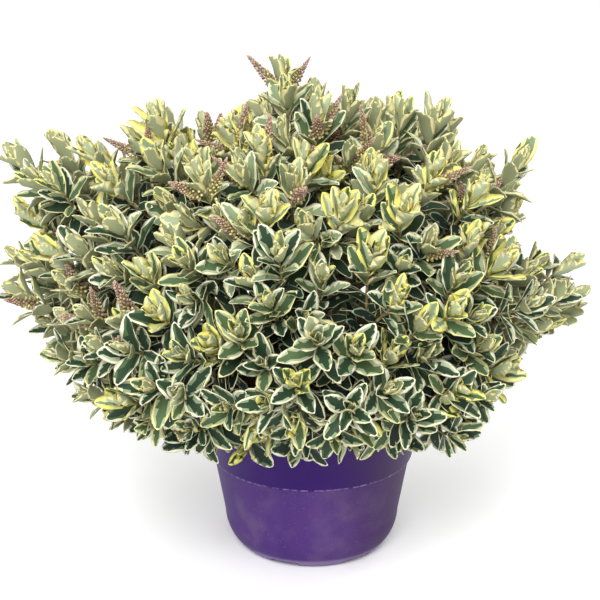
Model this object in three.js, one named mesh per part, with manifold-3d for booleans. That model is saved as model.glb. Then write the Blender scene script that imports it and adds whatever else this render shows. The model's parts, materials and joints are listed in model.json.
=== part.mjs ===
// A variegated hebe: a dome-shaped evergreen shrub in a plastic nursery pot.
//
// Units are millimetres and +Z is up. The origin is the middle of the pot's flat
// underside, and the side of the shrub that is looked at faces -Y.
//
// The shrub is built as it grows. A short woody stem stands on the compost, whorls of
// boughs leave it, and each bough carries one mass of foliage: twigs that fan out to
// the crown's surface, with crossed pairs of leaves along their last few centimetres.

import * as THREE from "three";
import { mergeVertices } from "three/addons/utils/BufferGeometryUtils.js";
import Module from "manifold-3d";

const wasm = await Module();
wasm.setup();

// ---------------------------------------------------------------- driving dimensions

const GAP = 0.3; // between pieces that touch on the real plant
const DEG = Math.PI / 180;
const UP = new THREE.Vector3(0, 0, 1);
const ACROSS = new THREE.Vector3(1, 0, 0);
const CONE_AXIS = new THREE.Vector3(0, 1, 0); // the way that cones and cylinders point
const NEARLY_UPRIGHT = 0.9; // as a share of 1, which is straight up
const WELD = 1e-4; // vertices closer than this are one

// Pot: [radius, height] of the outer wall above the rounded heel
const POT_FOOT_RADIUS = 58;
const POT_HEEL = { radius: 73.6, height: 30, draw: 1.5, steps: 4 };
const POT_RIM = 145;
const POT_SEAM = 79;
const COLLAR_STEP = [116.5, 115];
const POT_WALL_OUTLINE = [
  [82.7, POT_SEAM],
  [84.9, POT_SEAM + 2.6],
  [91, COLLAR_STEP[1]],
  [92.8, COLLAR_STEP[0]],
  [93.6, 140],
  [95, 141.5],
  [95, POT_RIM],
];
const POT_WALL = 1.8;
const POT_FLOOR = 5;
const POT_SEGMENTS = 32;
const FOOT = { count: 6, turn: 8, notchHeight: 3, notchWidth: 20, notchDepth: 13 };

// Compost and stem
const COMPOST_LEVEL = 130;
const COMPOST_SHRINK = 1.5; // it has drawn back a little from the collar
const STEM_TOP = 212;
const STEM = {
  flareRadius: 10,
  flareHeight: 9,
  baseRadius: 6.8,
  tipRadius: 4.4,
  lean: -4,
  sides: 8,
  steps: 6,
};

// Crown: a squarish dome about CROWN_CENTRE that narrows below to a hem over the rim
const CROWN_CENTRE = new THREE.Vector3(0, 0, 150);
const CROWN_WIDE = 228;
const CROWN_TALL = 226;
const CROWN_SQUARENESS = 3;
const CROWN_DEPTH_RATIO = 0.96;
const CROWN_LEAN = 0.04; // how much further the left reaches than the mean
const HEM_ANGLE = 14; // degrees above the centre where the crown starts to narrow
const HEM_TAPER = 3.5; // millimetres of reach lost per degree below that
const STRAY = 6; // how far single leaves stand out of the crown's shape
const HEM_LEVEL = 98; // the lowest leaf tips

// Where the crown swells out of that dome (or sinks in, where the gain is negative).
// Every mass of foliage swells it too.
const LOBE_WIDTH = 14; // degrees
const LOBES = [
  { azimuth: 180, elevation: 85, gain: 38 },
  { azimuth: 180, elevation: 61, gain: 14 },
  { azimuth: 180, elevation: 37, gain: 50 },
  { azimuth: 180, elevation: 17, gain: 28 },
  { azimuth: 0, elevation: 73, gain: 20 },
  { azimuth: 0, elevation: 47, gain: 38 },
  { azimuth: 0, elevation: 35, gain: -44 },
  { azimuth: 0, elevation: 21, gain: 74 },
  { azimuth: 318, elevation: -4, gain: 20 },
  { azimuth: 214, elevation: -4, gain: 14 },
];
const MASS_GAIN = 10;

// Hollows in the outline that is seen from the front and a little above, at an angle
// round from the right. Each runs through the crown along that line of sight.
const SIGHT_ELEVATION = 19;
const HOLLOWS = [
  { angle: -10, depth: 84, width: 8 },
  { angle: 9, depth: 64, width: 8 },
  { angle: 28, depth: 50, width: 5 },
  { angle: 37, depth: 32, width: 4.5 },
  { angle: 55, depth: 50, width: 5 },
  { angle: 67, depth: 18, width: 4 },
  { angle: 84, depth: 24, width: 4 },
  { angle: 111, depth: 30, width: 9 },
  { angle: 130, depth: 42, width: 6 },
  { angle: 153, depth: 34, width: 6 },
  { angle: 168, depth: 18, width: 5 },
  { angle: 207, depth: 24, width: 5 },
];

// Whorls of boughs: where they leave the stem, and where their masses of foliage sit
const RINGS = [
  { name: "skirt", count: 8, start: 270, elevation: 7, reach: 112, level: 143, lift: 18 },
  { name: "middle", count: 6, start: 270, elevation: 25, reach: 150, level: 164, lift: 6 },
  { name: "upper", count: 5, start: 250, elevation: 53, reach: 152, level: 187, lift: 0 },
  { name: "top", count: 1, start: 180, elevation: 88, reach: 160, level: 206, lift: 0 },
];
const STAGGER = 8; // every second bough of a whorl leaves the stem this much higher
const BOUGH = { baseRadius: 3.4, tipRadius: 2.4, entry: 0.62, bend: 0.42, sides: 5, steps: 3 };
const CORE = { radial: 21, sideways: 25, upright: 20 };

// Shoots: spread evenly over the crown, each a little out of place
const SHOOTS = 128;
const SHOOT = {
  lowest: -14, // degrees above the crown's centre
  wander: 4, // degrees round the crown
  tilt: 3, // degrees up or down
  inset: 20, // leaf tips reach this far beyond the shoot's own tip
  shortfall: 26, // how far the shortest shoots stay behind the longest
  gather: 0.05, // how far shoots close up around their own bough
  lift: [0.2, 0.5], // how strongly shoots turn up to the light
  bend: 0.45, // part of its length over which a twig turns
};
const TWIG = { baseRadius: 3, tipRadius: 1.4, sides: 3, steps: 2 };
const STALK_RADIUS = 2.4; // of a bough's last stretch, inside its mass of foliage

// Leaves: crossed pairs, each a distance down the shoot from its tip
const LEAF_PAIRS = [
  { down: 4, length: 38, angle: 27 },
  { down: 15, length: 50, angle: 50 },
  { down: 28, length: 54, angle: 72 },
  { down: 43, length: 50, angle: 84 },
];
const LEAFY_PART = 0.7; // of a twig's length
const LEAF = {
  widthRatio: 0.46,
  widest: 0.56, // part of the length
  fold: 0.05,
  droop: 0.05,
  root: 0.24, // from the twig's middle, so that a pair's roots stay apart
  short: 0.7, // the size that is tried where a full leaf has no room
  rollSpread: 8,
  openSpread: 7,
  sizeSpread: 0.1,
};
const SPIKE = { length: 42, radius: 5, sides: 5, down: 12, angle: 36, share: 0.8, lowest: 16 };

// Room that leaves and twigs leave around them
const CELL_MARGIN = 0.25;
const LIMB_MARGIN = 0.8;
const POT_CLEARANCE = 2;
const SHORTEST_EDGE = 0.02;

const FINISHES = {
  pot: { color: 0x573a7c, roughness: 0.45 },
  compost: { color: 0x2c2019, roughness: 0.95 },
  wood: { color: 0x5f5140, roughness: 0.85 },
  skirt: { color: 0x77805a, roughness: 0.6 },
  middle: { color: 0x949a6c, roughness: 0.6 },
  upper: { color: 0xa7a978, roughness: 0.55 },
  top: { color: 0xb9b884, roughness: 0.55 },
};

// ---------------------------------------------------------------- helpers

// A repeatable number from 0 to 1 for the j-th trait of the i-th thing.
function chance(i, j) {
  const s = Math.sin(i * 12.9898 + j * 78.233) * 43758.5453;
  return s - Math.floor(s);
}

function spread(i, j) {
  return 2 * chance(i, j) - 1;
}

function heading(azimuth, elevation) {
  const flat = Math.cos(elevation * DEG);
  return new THREE.Vector3(
    flat * Math.cos(azimuth * DEG),
    flat * Math.sin(azimuth * DEG),
    Math.sin(elevation * DEG),
  );
}

// A level direction square to the given one, or any square one where that is upright.
function crosswise(direction) {
  const reference = Math.abs(direction.z) > NEARLY_UPRIGHT ? ACROSS : UP;
  return new THREE.Vector3().crossVectors(reference, direction).normalize();
}

function along(from, direction, distance) {
  return from.clone().addScaledVector(direction, distance);
}

function welded(geometry) {
  geometry.deleteAttribute("normal");
  geometry.deleteAttribute("uv");
  return mergeVertices(geometry, WELD);
}

function solidOf(geometry) {
  const closed = welded(geometry);
  return new wasm.Manifold(
    new wasm.Mesh({
      numProp: 3,
      vertProperties: new Float32Array(closed.attributes.position.array),
      triVerts: new Uint32Array(closed.index.array),
    }),
  );
}

function geometryOf(solid) {
  const mesh = solid.getMesh();
  const geometry = new THREE.BufferGeometry();
  geometry.setAttribute("position", new THREE.BufferAttribute(mesh.vertProperties, 3));
  geometry.setIndex(new THREE.BufferAttribute(mesh.triVerts, 1));
  return geometry;
}

// Moves every vertex of a geometry to where place(x, y, z) says.
function reshape(geometry, place) {
  const position = geometry.attributes.position;
  for (let v = 0; v < position.count; v += 1) {
    const p = place(position.getX(v), position.getY(v), position.getZ(v));
    position.setXYZ(v, p.x, p.y, p.z);
  }
  return geometry;
}

// The direction square to a flat curve all along it.
function squareTo(curve) {
  const start = curve.getTangent(0);
  const square = new THREE.Vector3().crossVectors(start, curve.getTangent(1));
  return square.length() > WELD ? square.normalize() : crosswise(start);
}

// A round limb: a unit cylinder bent along a flat curve, its radius given by radiusAt(t).
function limb(curve, radiusAt, sides, steps) {
  const right = squareTo(curve);
  return reshape(new THREE.CylinderGeometry(1, 1, 1, sides, steps), (x, y, z) => {
    const t = y + 0.5;
    const under = new THREE.Vector3().crossVectors(right, curve.getTangent(t));
    const radius = radiusAt(t);
    return along(along(curve.getPoint(t), right, x * radius), under, z * radius);
  });
}

function taper(from, to) {
  return (t) => from + (to - from) * t;
}

function lathe(outline) {
  const points = outline.map(([radius, height]) => new THREE.Vector2(radius, height));
  return new THREE.LatheGeometry(points, POT_SEGMENTS).rotateX(Math.PI / 2);
}

// ---------------------------------------------------------------- pot and compost

// A quarter of an oval from the foot out to the wall, drawn in towards the foot.
function heelOutline() {
  const outline = [];
  for (let step = 0; step <= POT_HEEL.steps; step += 1) {
    const turn = (step / POT_HEEL.steps) * 90 * DEG;
    const out = (POT_HEEL.radius - POT_FOOT_RADIUS) * Math.sin(turn) ** POT_HEEL.draw;
    outline.push([POT_FOOT_RADIUS + out, POT_HEEL.height * (1 - Math.cos(turn))]);
  }
  return outline;
}

const potOutside = [...heelOutline(), ...POT_WALL_OUTLINE];

function potRadius(height) {
  const above = Math.max(1, potOutside.findIndex((point) => point[1] >= height));
  const [lowRadius, low] = potOutside[above - 1];
  const [highRadius, high] = potOutside[above];
  return lowRadius + ((highRadius - lowRadius) * (height - low)) / (high - low);
}

// The wall's outline at the given levels, moved inwards by inset.
function wallOutline(levels, inset) {
  return levels.map((level) => [potRadius(level) - inset, level]);
}

function pot() {
  const inside = wallOutline([POT_RIM, ...COLLAR_STEP, POT_SEAM, POT_HEEL.height, POT_FLOOR], POT_WALL);
  const shell = solidOf(lathe([[0, 0], ...potOutside, ...inside, [0, POT_FLOOR]]));
  const notches = [];
  for (let foot = 0; foot < FOOT.count; foot += 1) {
    const notch = new THREE.BoxGeometry(
      2 * FOOT.notchDepth,
      FOOT.notchWidth,
      2 * FOOT.notchHeight,
    );
    notch.translate(POT_FOOT_RADIUS, 0, 0);
    notch.rotateZ((FOOT.turn + (360 * foot) / FOOT.count) * DEG);
    notches.push(solidOf(notch));
  }
  return shell.subtract(wasm.Manifold.union(notches));
}

function compost() {
  const floor = POT_FLOOR + GAP;
  const inset = POT_WALL + GAP;
  const side = wallOutline([floor, POT_HEEL.height, POT_SEAM], inset);
  const brim = wallOutline([COMPOST_LEVEL], inset + COMPOST_SHRINK);
  return solidOf(lathe([[0, floor], ...side, ...brim, [0, COMPOST_LEVEL]]));
}

// ---------------------------------------------------------------- crown

// How far the leaf tips reach from the crown's centre in a direction.
function crownReach(direction) {
  const elevation = Math.asin(direction.z) / DEG;
  const flat = Math.hypot(direction.x, direction.y);
  const frontal = (direction.y / Math.max(flat, WELD)) ** 2;
  const wide = CROWN_WIDE * (1 - (1 - CROWN_DEPTH_RATIO) * frontal);
  const rise = Math.max(direction.z, 0);
  const sum = (flat / wide) ** CROWN_SQUARENESS + (rise / CROWN_TALL) ** CROWN_SQUARENESS;
  const dome = sum ** (-1 / CROWN_SQUARENESS) * (1 - CROWN_LEAN * direction.x);
  const swelling = swellings.reduce((total, { towards, gain }) => {
    const away = towards.angleTo(direction) / DEG / LOBE_WIDTH;
    return total + gain * Math.exp(-away * away);
  }, 0);
  const round = Math.atan2(direction.dot(sightUp), direction.x) / DEG;
  const sideways = 1 - direction.dot(sight) ** 2;
  const hollow = HOLLOWS.reduce((total, { angle, depth, width }) => {
    const away = (((round - angle + 540) % 360) - 180) / width;
    return total + depth * Math.exp(-away * away);
  }, 0);
  const hem = HEM_TAPER * Math.max(0, HEM_ANGLE - elevation);
  return dome + swelling - hollow * sideways ** 2 - hem;
}

function insideCrown(point) {
  const offset = point.clone().sub(CROWN_CENTRE);
  const distance = offset.length();
  return point.z >= HEM_LEVEL && distance <= crownReach(offset.divideScalar(distance)) + STRAY;
}

const sight = heading(270, SIGHT_ELEVATION);
const sightUp = heading(90, 90 - SIGHT_ELEVATION);
const swellings = LOBES.map(({ azimuth, elevation, gain }) => ({
  towards: heading(azimuth, elevation),
  gain,
}));
for (const { count, start, elevation } of RINGS) {
  for (let k = 0; k < count; k += 1) {
    swellings.push({ towards: heading(start + (360 * k) / count, elevation), gain: MASS_GAIN });
  }
}

// Every mass of foliage: its centre, the bough that carries it and its ring.
function layOutMasses() {
  const masses = [];
  for (const ring of RINGS) {
    for (let k = 0; k < ring.count; k += 1) {
      const azimuth = ring.start + (360 * k) / ring.count;
      const direction = heading(azimuth, ring.elevation);
      const centre = along(CROWN_CENTRE, direction, ring.reach);
      const climb = ring.level + k + STAGGER * (k % 2) - COMPOST_LEVEL;
      const foot = stemCurve().getPoint(climb / (STEM_TOP - COMPOST_LEVEL));
      const end = foot.clone().lerp(centre, BOUGH.entry).addScaledVector(UP, ring.lift);
      const inward = end.clone().sub(centre).normalize();
      const bend = along(end, inward, BOUGH.bend * end.distanceTo(foot));
      const suffix = ring.count > 1 ? `_${k + 1}` : "";
      masses.push({
        ring: ring.name,
        suffix,
        direction,
        centre,
        end,
        inward,
        bough: new THREE.QuadraticBezierCurve3(foot, bend, end),
        shoots: [],
      });
    }
  }
  return masses;
}

function stemCurve() {
  const foot = new THREE.Vector3(0, 0, COMPOST_LEVEL + GAP);
  const tip = new THREE.Vector3(STEM.lean, 0, STEM_TOP);
  const bend = new THREE.Vector3(0, 0, (COMPOST_LEVEL + STEM_TOP) / 2);
  return new THREE.QuadraticBezierCurve3(foot, bend, tip);
}

function stem(extra = 0) {
  const height = STEM_TOP - COMPOST_LEVEL;
  const flare = STEM.flareRadius - STEM.baseRadius;
  const radiusAt = (t) => {
    const straight = STEM.baseRadius + (STEM.tipRadius - STEM.baseRadius) * t;
    return straight + flare * Math.exp((-t * height) / STEM.flareHeight) + extra;
  };
  return solidOf(limb(stemCurve(), radiusAt, STEM.sides, STEM.steps));
}

function bough(mass, extra = 0) {
  const radiusAt = taper(BOUGH.baseRadius + extra, BOUGH.tipRadius + extra);
  return solidOf(limb(mass.bough, radiusAt, BOUGH.sides, BOUGH.steps));
}

// Shoots are spread evenly over the crown by the golden angle. Each is handed to the
// mass whose centre is nearest, and gathers a little towards that mass's own middle.
function layOutShoots(masses) {
  const goldenAngle = 180 * (3 - Math.sqrt(5));
  const lowest = Math.sin(SHOOT.lowest * DEG);
  for (let i = 0; i < SHOOTS; i += 1) {
    const rise = 1 - ((i + 0.5) / SHOOTS) * (1 - lowest);
    const elevation = Math.asin(rise) / DEG + SHOOT.tilt * spread(i, 1);
    const direction = heading(i * goldenAngle + SHOOT.wander * spread(i, 2), elevation);
    const inset = SHOOT.inset + SHOOT.shortfall * chance(i, 3) ** 2;
    const tip = along(CROWN_CENTRE, direction, crownReach(direction) - inset);
    const mass = masses.reduce((a, b) =>
      a.centre.distanceTo(tip) < b.centre.distanceTo(tip) ? a : b,
    );
    const middle = along(CROWN_CENTRE, mass.direction, tip.distanceTo(CROWN_CENTRE));
    tip.lerp(middle, SHOOT.gather);
    const outward = tip.clone().sub(CROWN_CENTRE).normalize();
    const lift = THREE.MathUtils.lerp(...SHOOT.lift, chance(i, 4));
    const facing = outward.addScaledVector(UP, lift).normalize();
    const bend = along(tip, facing, -SHOOT.bend * tip.distanceTo(mass.centre));
    const curve = new THREE.QuadraticBezierCurve3(mass.centre, bend, tip);
    mass.shoots.push({ index: i, elevation, facing, curve, joints: curve.getPoints(TWIG.steps) });
  }
}

// The place and the direction of growth some way down a shoot from its tip.
function nodeOn(shoot, down) {
  let left = down;
  for (let joint = TWIG.steps; joint > 0; joint -= 1) {
    const stalk = shoot.joints[joint].clone().sub(shoot.joints[joint - 1]);
    const span = stalk.length();
    stalk.normalize();
    if (left <= span || joint === 1) {
      return { node: along(shoot.joints[joint], stalk, -left), stalk };
    }
    left -= span;
  }
  return null;
}

// A leaf: a tetrahedron whose long edge is the keel of a blade folded along its midrib.
function leafGeometry(root, forward, upper, length) {
  const across = new THREE.Vector3().crossVectors(upper, forward);
  const place = (x, y, z) => {
    const edge = x * y < 0; // two corners lie on the keel, and two on the edges
    const run = edge ? LEAF.widest : Math.max(x, 0);
    const side = edge ? (-y * LEAF.widthRatio) / 2 : 0;
    const rise = edge ? LEAF.fold : -LEAF.droop * run;
    const flat = along(along(root, forward, run * length), across, side * length);
    return along(flat, upper, rise * length);
  };
  return reshape(new THREE.TetrahedronGeometry(Math.sqrt(3)), place);
}

// Crossed pairs of leaves down the end of a shoot, opening wider the older they are.
// Each leaf comes in two sizes, the second for where the first has no room.
function leavesOf(shoot) {
  const leaves = [];
  const leafy = LEAFY_PART * shoot.curve.getLength();
  const level = crosswise(shoot.facing);
  const turn = 360 * chance(shoot.index, 5);
  LEAF_PAIRS.filter((pair) => pair.down < leafy).forEach((pair, p) => {
    const { node, stalk } = nodeOn(shoot, pair.down);
    for (const half of [0, 180]) {
      const key = shoot.index * 8 + p * 2 + half / 180;
      const roll = (turn + 90 * p + half + LEAF.rollSpread * spread(key, 6)) * DEG;
      const sideways = level.clone().applyAxisAngle(stalk, roll);
      sideways.addScaledVector(stalk, -sideways.dot(stalk)).normalize();
      const open = (pair.angle + LEAF.openSpread * spread(key, 7)) * DEG;
      const forward = stalk.clone().multiplyScalar(Math.cos(open));
      forward.addScaledVector(sideways, Math.sin(open));
      const upper = stalk.clone().multiplyScalar(Math.sin(open));
      upper.addScaledVector(sideways, -Math.cos(open));
      const root = along(node, forward, LEAF.root);
      const size = pair.length * (1 + LEAF.sizeSpread * spread(key, 8));
      leaves.push([size, LEAF.short * size].map((length) =>
        leafGeometry(root, forward, upper, length),
      ));
    }
  });
  return leaves;
}

// A spike of closed buds beside a shoot's tip, the likelier the higher the shoot stands.
function spikesOf(shoot) {
  const share = SPIKE.share * Math.sin(shoot.elevation * DEG) ** 2;
  if (shoot.elevation < SPIKE.lowest || chance(shoot.index, 9) > share) {
    return [];
  }
  const { node, stalk } = nodeOn(shoot, SPIKE.down);
  const sideways = crosswise(stalk).applyAxisAngle(stalk, 360 * DEG * chance(shoot.index, 10));
  const forward = stalk.clone().multiplyScalar(Math.cos(SPIKE.angle * DEG));
  forward.addScaledVector(sideways, Math.sin(SPIKE.angle * DEG));
  const cone = new THREE.ConeGeometry(SPIKE.radius, SPIKE.length, SPIKE.sides);
  cone.translate(0, SPIKE.length / 2, 0);
  cone.applyQuaternion(new THREE.Quaternion().setFromUnitVectors(CONE_AXIS, forward));
  return [[cone.translate(node.x, node.y, node.z)]];
}

function coreGeometry(mass) {
  const sideways = new THREE.Vector3(-mass.direction.y, mass.direction.x, 0).normalize();
  const upright = new THREE.Vector3().crossVectors(mass.direction, sideways);
  return reshape(new THREE.IcosahedronGeometry(1), (x, y, z) => {
    const out = along(mass.centre, mass.direction, x * CORE.radial);
    return along(along(out, sideways, y * CORE.sideways), upright, z * CORE.upright);
  });
}

// A mass keeps to the points that are nearer to its own centre than to any other.
function insideCell(mass, masses, geometry) {
  const position = geometry.attributes.position;
  const point = new THREE.Vector3();
  for (let v = 0; v < position.count; v += 1) {
    point.fromBufferAttribute(position, v);
    if (!insideCrown(point)) {
      return false;
    }
    for (const other of masses) {
      if (other !== mass) {
        const apart = 2 * mass.centre.distanceTo(other.centre);
        const nearer = point.distanceToSquared(other.centre) -
          point.distanceToSquared(mass.centre);
        if (nearer / apart < CELL_MARGIN) {
          return false;
        }
      }
    }
  }
  return true;
}

// Fused twigs can close off a hollow or leave a scrap: only the outer body is kept.
function outerBody(solid) {
  const bodies = solid.simplify(SHORTEST_EDGE).decompose();
  return bodies.reduce((a, b) => (a.volume() > b.volume() ? a : b));
}

// The first of some geometries that stays in its cell and clear of what is taken.
function firstThatFits(geometries, mass, masses, taken) {
  for (const geometry of geometries) {
    if (insideCell(mass, masses, geometry)) {
      const solid = solidOf(geometry);
      if (solid.intersect(taken).isEmpty()) {
        return solid;
      }
    }
  }
  return null;
}

function foliage(mass, masses, obstacles) {
  const start = along(mass.end, mass.inward, -GAP);
  const stalk = limb(
    new THREE.LineCurve3(start, mass.centre),
    taper(BOUGH.tipRadius, STALK_RADIUS),
    BOUGH.sides,
    1,
  );
  const twigs = [];
  for (const shoot of mass.shoots) {
    const twig = limb(shoot.curve, taper(TWIG.baseRadius, TWIG.tipRadius), TWIG.sides, TWIG.steps);
    const solid = firstThatFits([twig], mass, masses, obstacles);
    if (solid) {
      twigs.push({ shoot, solid });
    }
  }
  let blades = wasm.Manifold.union([solidOf(stalk), solidOf(coreGeometry(mass))]);
  for (const { shoot, solid: ownTwig } of twigs) {
    const otherTwigs = twigs.filter((twig) => twig.solid !== ownTwig).map((twig) => twig.solid);
    const taken = wasm.Manifold.union([obstacles, blades, ...otherTwigs]);
    const fitting = [...leavesOf(shoot), ...spikesOf(shoot)]
      .map((sizes) => firstThatFits(sizes, mass, masses, taken))
      .filter((solid) => solid);
    blades = wasm.Manifold.union([blades, ...fitting]);
  }
  const fused = [blades, ...twigs.map((twig) => twig.solid)];
  return outerBody(wasm.Manifold.union(fused));
}

// ---------------------------------------------------------------- scene graph

const shrub = new THREE.Group();

function addNode(name, solid, finish) {
  const material = new THREE.MeshStandardMaterial({ ...finish, metalness: 0 });
  const mesh = new THREE.Mesh(geometryOf(solid), material);
  mesh.name = name;
  shrub.add(mesh);
}

addNode("pot", pot(), FINISHES.pot);
addNode("compost", compost(), FINISHES.compost);
addNode("stem", stem(), FINISHES.wood);

const masses = layOutMasses();
layOutShoots(masses);

const fatStem = stem(GAP);
for (const mass of masses) {
  const clipped = outerBody(bough(mass).subtract(fatStem));
  addNode(`${mass.ring}_bough${mass.suffix}`, clipped, FINISHES.wood);
}

const potSpace = lathe([
  [0, 0],
  ...potOutside.map(([radius, level]) => [radius + POT_CLEARANCE, level]),
  [0, POT_RIM + POT_CLEARANCE],
]);
const obstacles = wasm.Manifold.union([
  solidOf(potSpace),
  stem(LIMB_MARGIN),
  ...masses.map((mass) => bough(mass, LIMB_MARGIN)),
]);
for (const mass of masses) {
  const body = foliage(mass, masses, obstacles);
  addNode(`${mass.ring}_foliage${mass.suffix}`, body, FINISHES[mass.ring]);
}

export default shrub;
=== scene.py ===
# %% [markdown]
# # A variegated hebe in its nursery pot
# A hebe is a small evergreen shrub with leaves in crossed pairs, and this one is
# variegated: every leaf has a green middle and a cream or yellow edge. The packed model
# is the frame: it says where the pot, the boughs and the masses of foliage are. This
# lesson grows the leaves, buds and bark around it, piece by piece. The scene is in metres,
# and the growth rule is worked out in millimetres, as a gardener would measure it.

# %% The frame
import json
import math

import bmesh
import bpy
from mathutils import Matrix, Vector, noise

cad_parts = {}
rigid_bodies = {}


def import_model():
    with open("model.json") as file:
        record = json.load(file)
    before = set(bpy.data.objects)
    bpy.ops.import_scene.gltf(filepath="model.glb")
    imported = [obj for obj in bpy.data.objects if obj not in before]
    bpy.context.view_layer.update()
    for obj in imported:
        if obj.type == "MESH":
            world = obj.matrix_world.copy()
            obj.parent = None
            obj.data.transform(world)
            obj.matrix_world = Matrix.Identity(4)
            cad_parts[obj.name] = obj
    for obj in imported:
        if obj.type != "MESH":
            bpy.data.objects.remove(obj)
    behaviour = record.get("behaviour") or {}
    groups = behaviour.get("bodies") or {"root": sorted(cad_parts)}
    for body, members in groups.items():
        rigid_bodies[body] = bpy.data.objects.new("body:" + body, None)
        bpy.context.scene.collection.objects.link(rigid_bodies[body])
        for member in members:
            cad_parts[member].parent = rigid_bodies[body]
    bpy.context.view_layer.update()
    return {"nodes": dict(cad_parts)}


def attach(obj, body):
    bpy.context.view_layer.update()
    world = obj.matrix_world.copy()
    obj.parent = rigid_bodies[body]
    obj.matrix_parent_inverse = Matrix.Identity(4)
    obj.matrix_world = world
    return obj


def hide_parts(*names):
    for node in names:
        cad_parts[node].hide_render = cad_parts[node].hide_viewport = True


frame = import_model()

MM = 0.001
UP = Vector((0, 0, 1))

# %% [markdown]
# ## Studio
# A shrub in a pot is best judged in even light, because a hard sun hides half of its
# leaves in black shade. So a pale world lights it from all around, and one large lamp, up
# in front and a little to the left, gives the leaves their shape. A weak one behind lifts
# the far side. The floor is plain and pale. The camera has a long lens and stands well
# back, which keeps the near leaves from looking larger than the far ones.

# %% Camera, world, lamps and floor
CAMERA_AIM = Vector((-0.0099, 0, 0.214))
CAMERA_DISTANCE = 1.5
CAMERA_ABOVE = math.radians(19.3)  # it looks down on the pot by this much
CAMERA_LENS = 109.4
LAMPS = {  # place, width in metres, watts
    "key_lamp": ((-0.3, -1.66, 1.5), 0.9, 43),
    "back_lamp": ((1.0, 1.1, 1.4), 1.2, 10),
}
WORLD_STRENGTH = 1.0

scene = bpy.context.scene
scene.view_settings.view_transform = "Standard"


def look_at(thing, place, aim):
    thing.location = place
    thing.rotation_euler = (aim - place).to_track_quat("-Z", "Y").to_euler()


def make_studio():
    back = Vector((0, -math.cos(CAMERA_ABOVE), math.sin(CAMERA_ABOVE)))
    camera = bpy.data.objects.new("camera", bpy.data.cameras.new("camera"))
    camera.data.lens = CAMERA_LENS
    look_at(camera, CAMERA_AIM + back * CAMERA_DISTANCE, CAMERA_AIM)
    scene.collection.objects.link(camera)
    scene.camera = camera
    for name, (place, size, power) in LAMPS.items():
        lamp = bpy.data.objects.new(name, bpy.data.lights.new(name, "AREA"))
        lamp.data.size = size
        lamp.data.energy = power
        look_at(lamp, Vector(place), CAMERA_AIM)
        scene.collection.objects.link(lamp)
    scene.world = bpy.data.worlds.new("pale_studio")
    scene.world.use_nodes = True
    sky = scene.world.node_tree.nodes["Background"]
    sky.inputs["Color"].default_value = (1, 1, 1, 1)
    sky.inputs["Strength"].default_value = WORLD_STRENGTH
    print("camera", camera.data.lens, "mm, lamps", list(LAMPS))


make_studio()

# %% [markdown]
# ## Shader maths as plain arithmetic
# A node tree for "more dust lower down" is mostly Math nodes. A wire wraps a socket and
# overloads the operators, so that `1 - mask * 0.5` adds those nodes by itself, and one
# method adds every other kind of node. The same helper serves Geometry Nodes.

# %% Wires: sockets that arithmetic works on


class Wire:
    """An output socket that ordinary arithmetic works on."""

    def __init__(self, nodes, socket):
        self.nodes = nodes
        self.socket = socket

    def math(self, operation, *values):
        sockets = dict(enumerate(values))
        return self.nodes.add("ShaderNodeMath", {"operation": operation}, sockets)

    def __add__(self, other):
        return self.math("ADD", self, other)

    def __radd__(self, other):
        return self.math("ADD", other, self)

    def __sub__(self, other):
        return self.math("SUBTRACT", self, other)

    def __rsub__(self, other):
        return self.math("SUBTRACT", other, self)

    def __mul__(self, other):
        return self.math("MULTIPLY", self, other)

    def __rmul__(self, other):
        return self.math("MULTIPLY", other, self)


print("wires know:", [name for name in vars(Wire) if name.startswith("__r")])

# %% Node trees


class Nodes:
    """A shader or geometry tree that nodes are added to."""

    def __init__(self, tree):
        self.tree = tree

    def add(self, kind, settings=None, sockets=None, output=0):
        node = self.tree.nodes.new(kind)
        for name, value in (settings or {}).items():
            setattr(node, name, value)
        for key, value in (sockets or {}).items():
            self.plug(node.inputs[key], value)
        return Wire(self, node.outputs[output])

    def plug(self, socket, value):
        if isinstance(value, Wire):
            self.tree.links.new(value.socket, socket)
        else:
            socket.default_value = value

    def between(self, value, low, high):
        """0 where value is at low, 1 where it is at high, smooth between."""
        settings = {"interpolation_type": "SMOOTHSTEP"}
        return self.add("ShaderNodeMapRange", settings, {0: value, 1: low, 2: high})

    def blend(self, share, first, second):
        """A colour from first to second as share goes from 0 to 1."""
        return self.add(
            "ShaderNodeMix", {"data_type": "RGBA"}, {0: share, 6: first, 7: second}, 2
        )


def srgb(red, green, blue):
    """A linear colour from the usual 0 to 255 values."""
    def linear(value):
        share = value / 255
        return share / 12.92 if share <= 0.04045 else ((share + 0.055) / 1.055) ** 2.4
    return (linear(red), linear(green), linear(blue), 1)


print("middle grey is", round(srgb(128, 128, 128)[0], 3), "in linear light")

# %% Finishes


class Finish(Nodes):
    """A new material whose Principled shader takes values or wires by socket name."""

    def __init__(self, name):
        self.material = bpy.data.materials.new(name)
        self.material.use_nodes = True
        super().__init__(self.material.node_tree)
        self.place = self.add("ShaderNodeTexCoord", output=3)

    def noise(self, scale, detail=2.0, stretch=None):
        """Soft noise with about scale cells to the metre, stretched by stretch."""
        place = self.place
        if stretch:
            place = self.add("ShaderNodeMapping", None, {0: place, 3: stretch})
        return self.add("ShaderNodeTexNoise", None, {0: place, 2: scale, 3: detail})

    def bump(self, height, strength, distance):
        return self.add(
            "ShaderNodeBump", None, {"Height": height, "Strength": strength, "Distance": distance}
        )

    def shade(self, **sockets):
        shader = self.tree.nodes["Principled BSDF"]
        for name, value in sockets.items():
            self.plug(shader.inputs[name.replace("_", " ")], value)
        return self.material


print("finishes ready")

# %% The floor: the first finish, on one wide square
FLOOR_REACH = 6  # metres each way


def floor_finish():
    finish = Finish("studio_floor")
    grain = finish.noise(6)
    tone = finish.blend(grain, srgb(246, 246, 246), srgb(250, 250, 250))
    return finish.shade(Base_Color=tone, Roughness=0.9)


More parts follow.
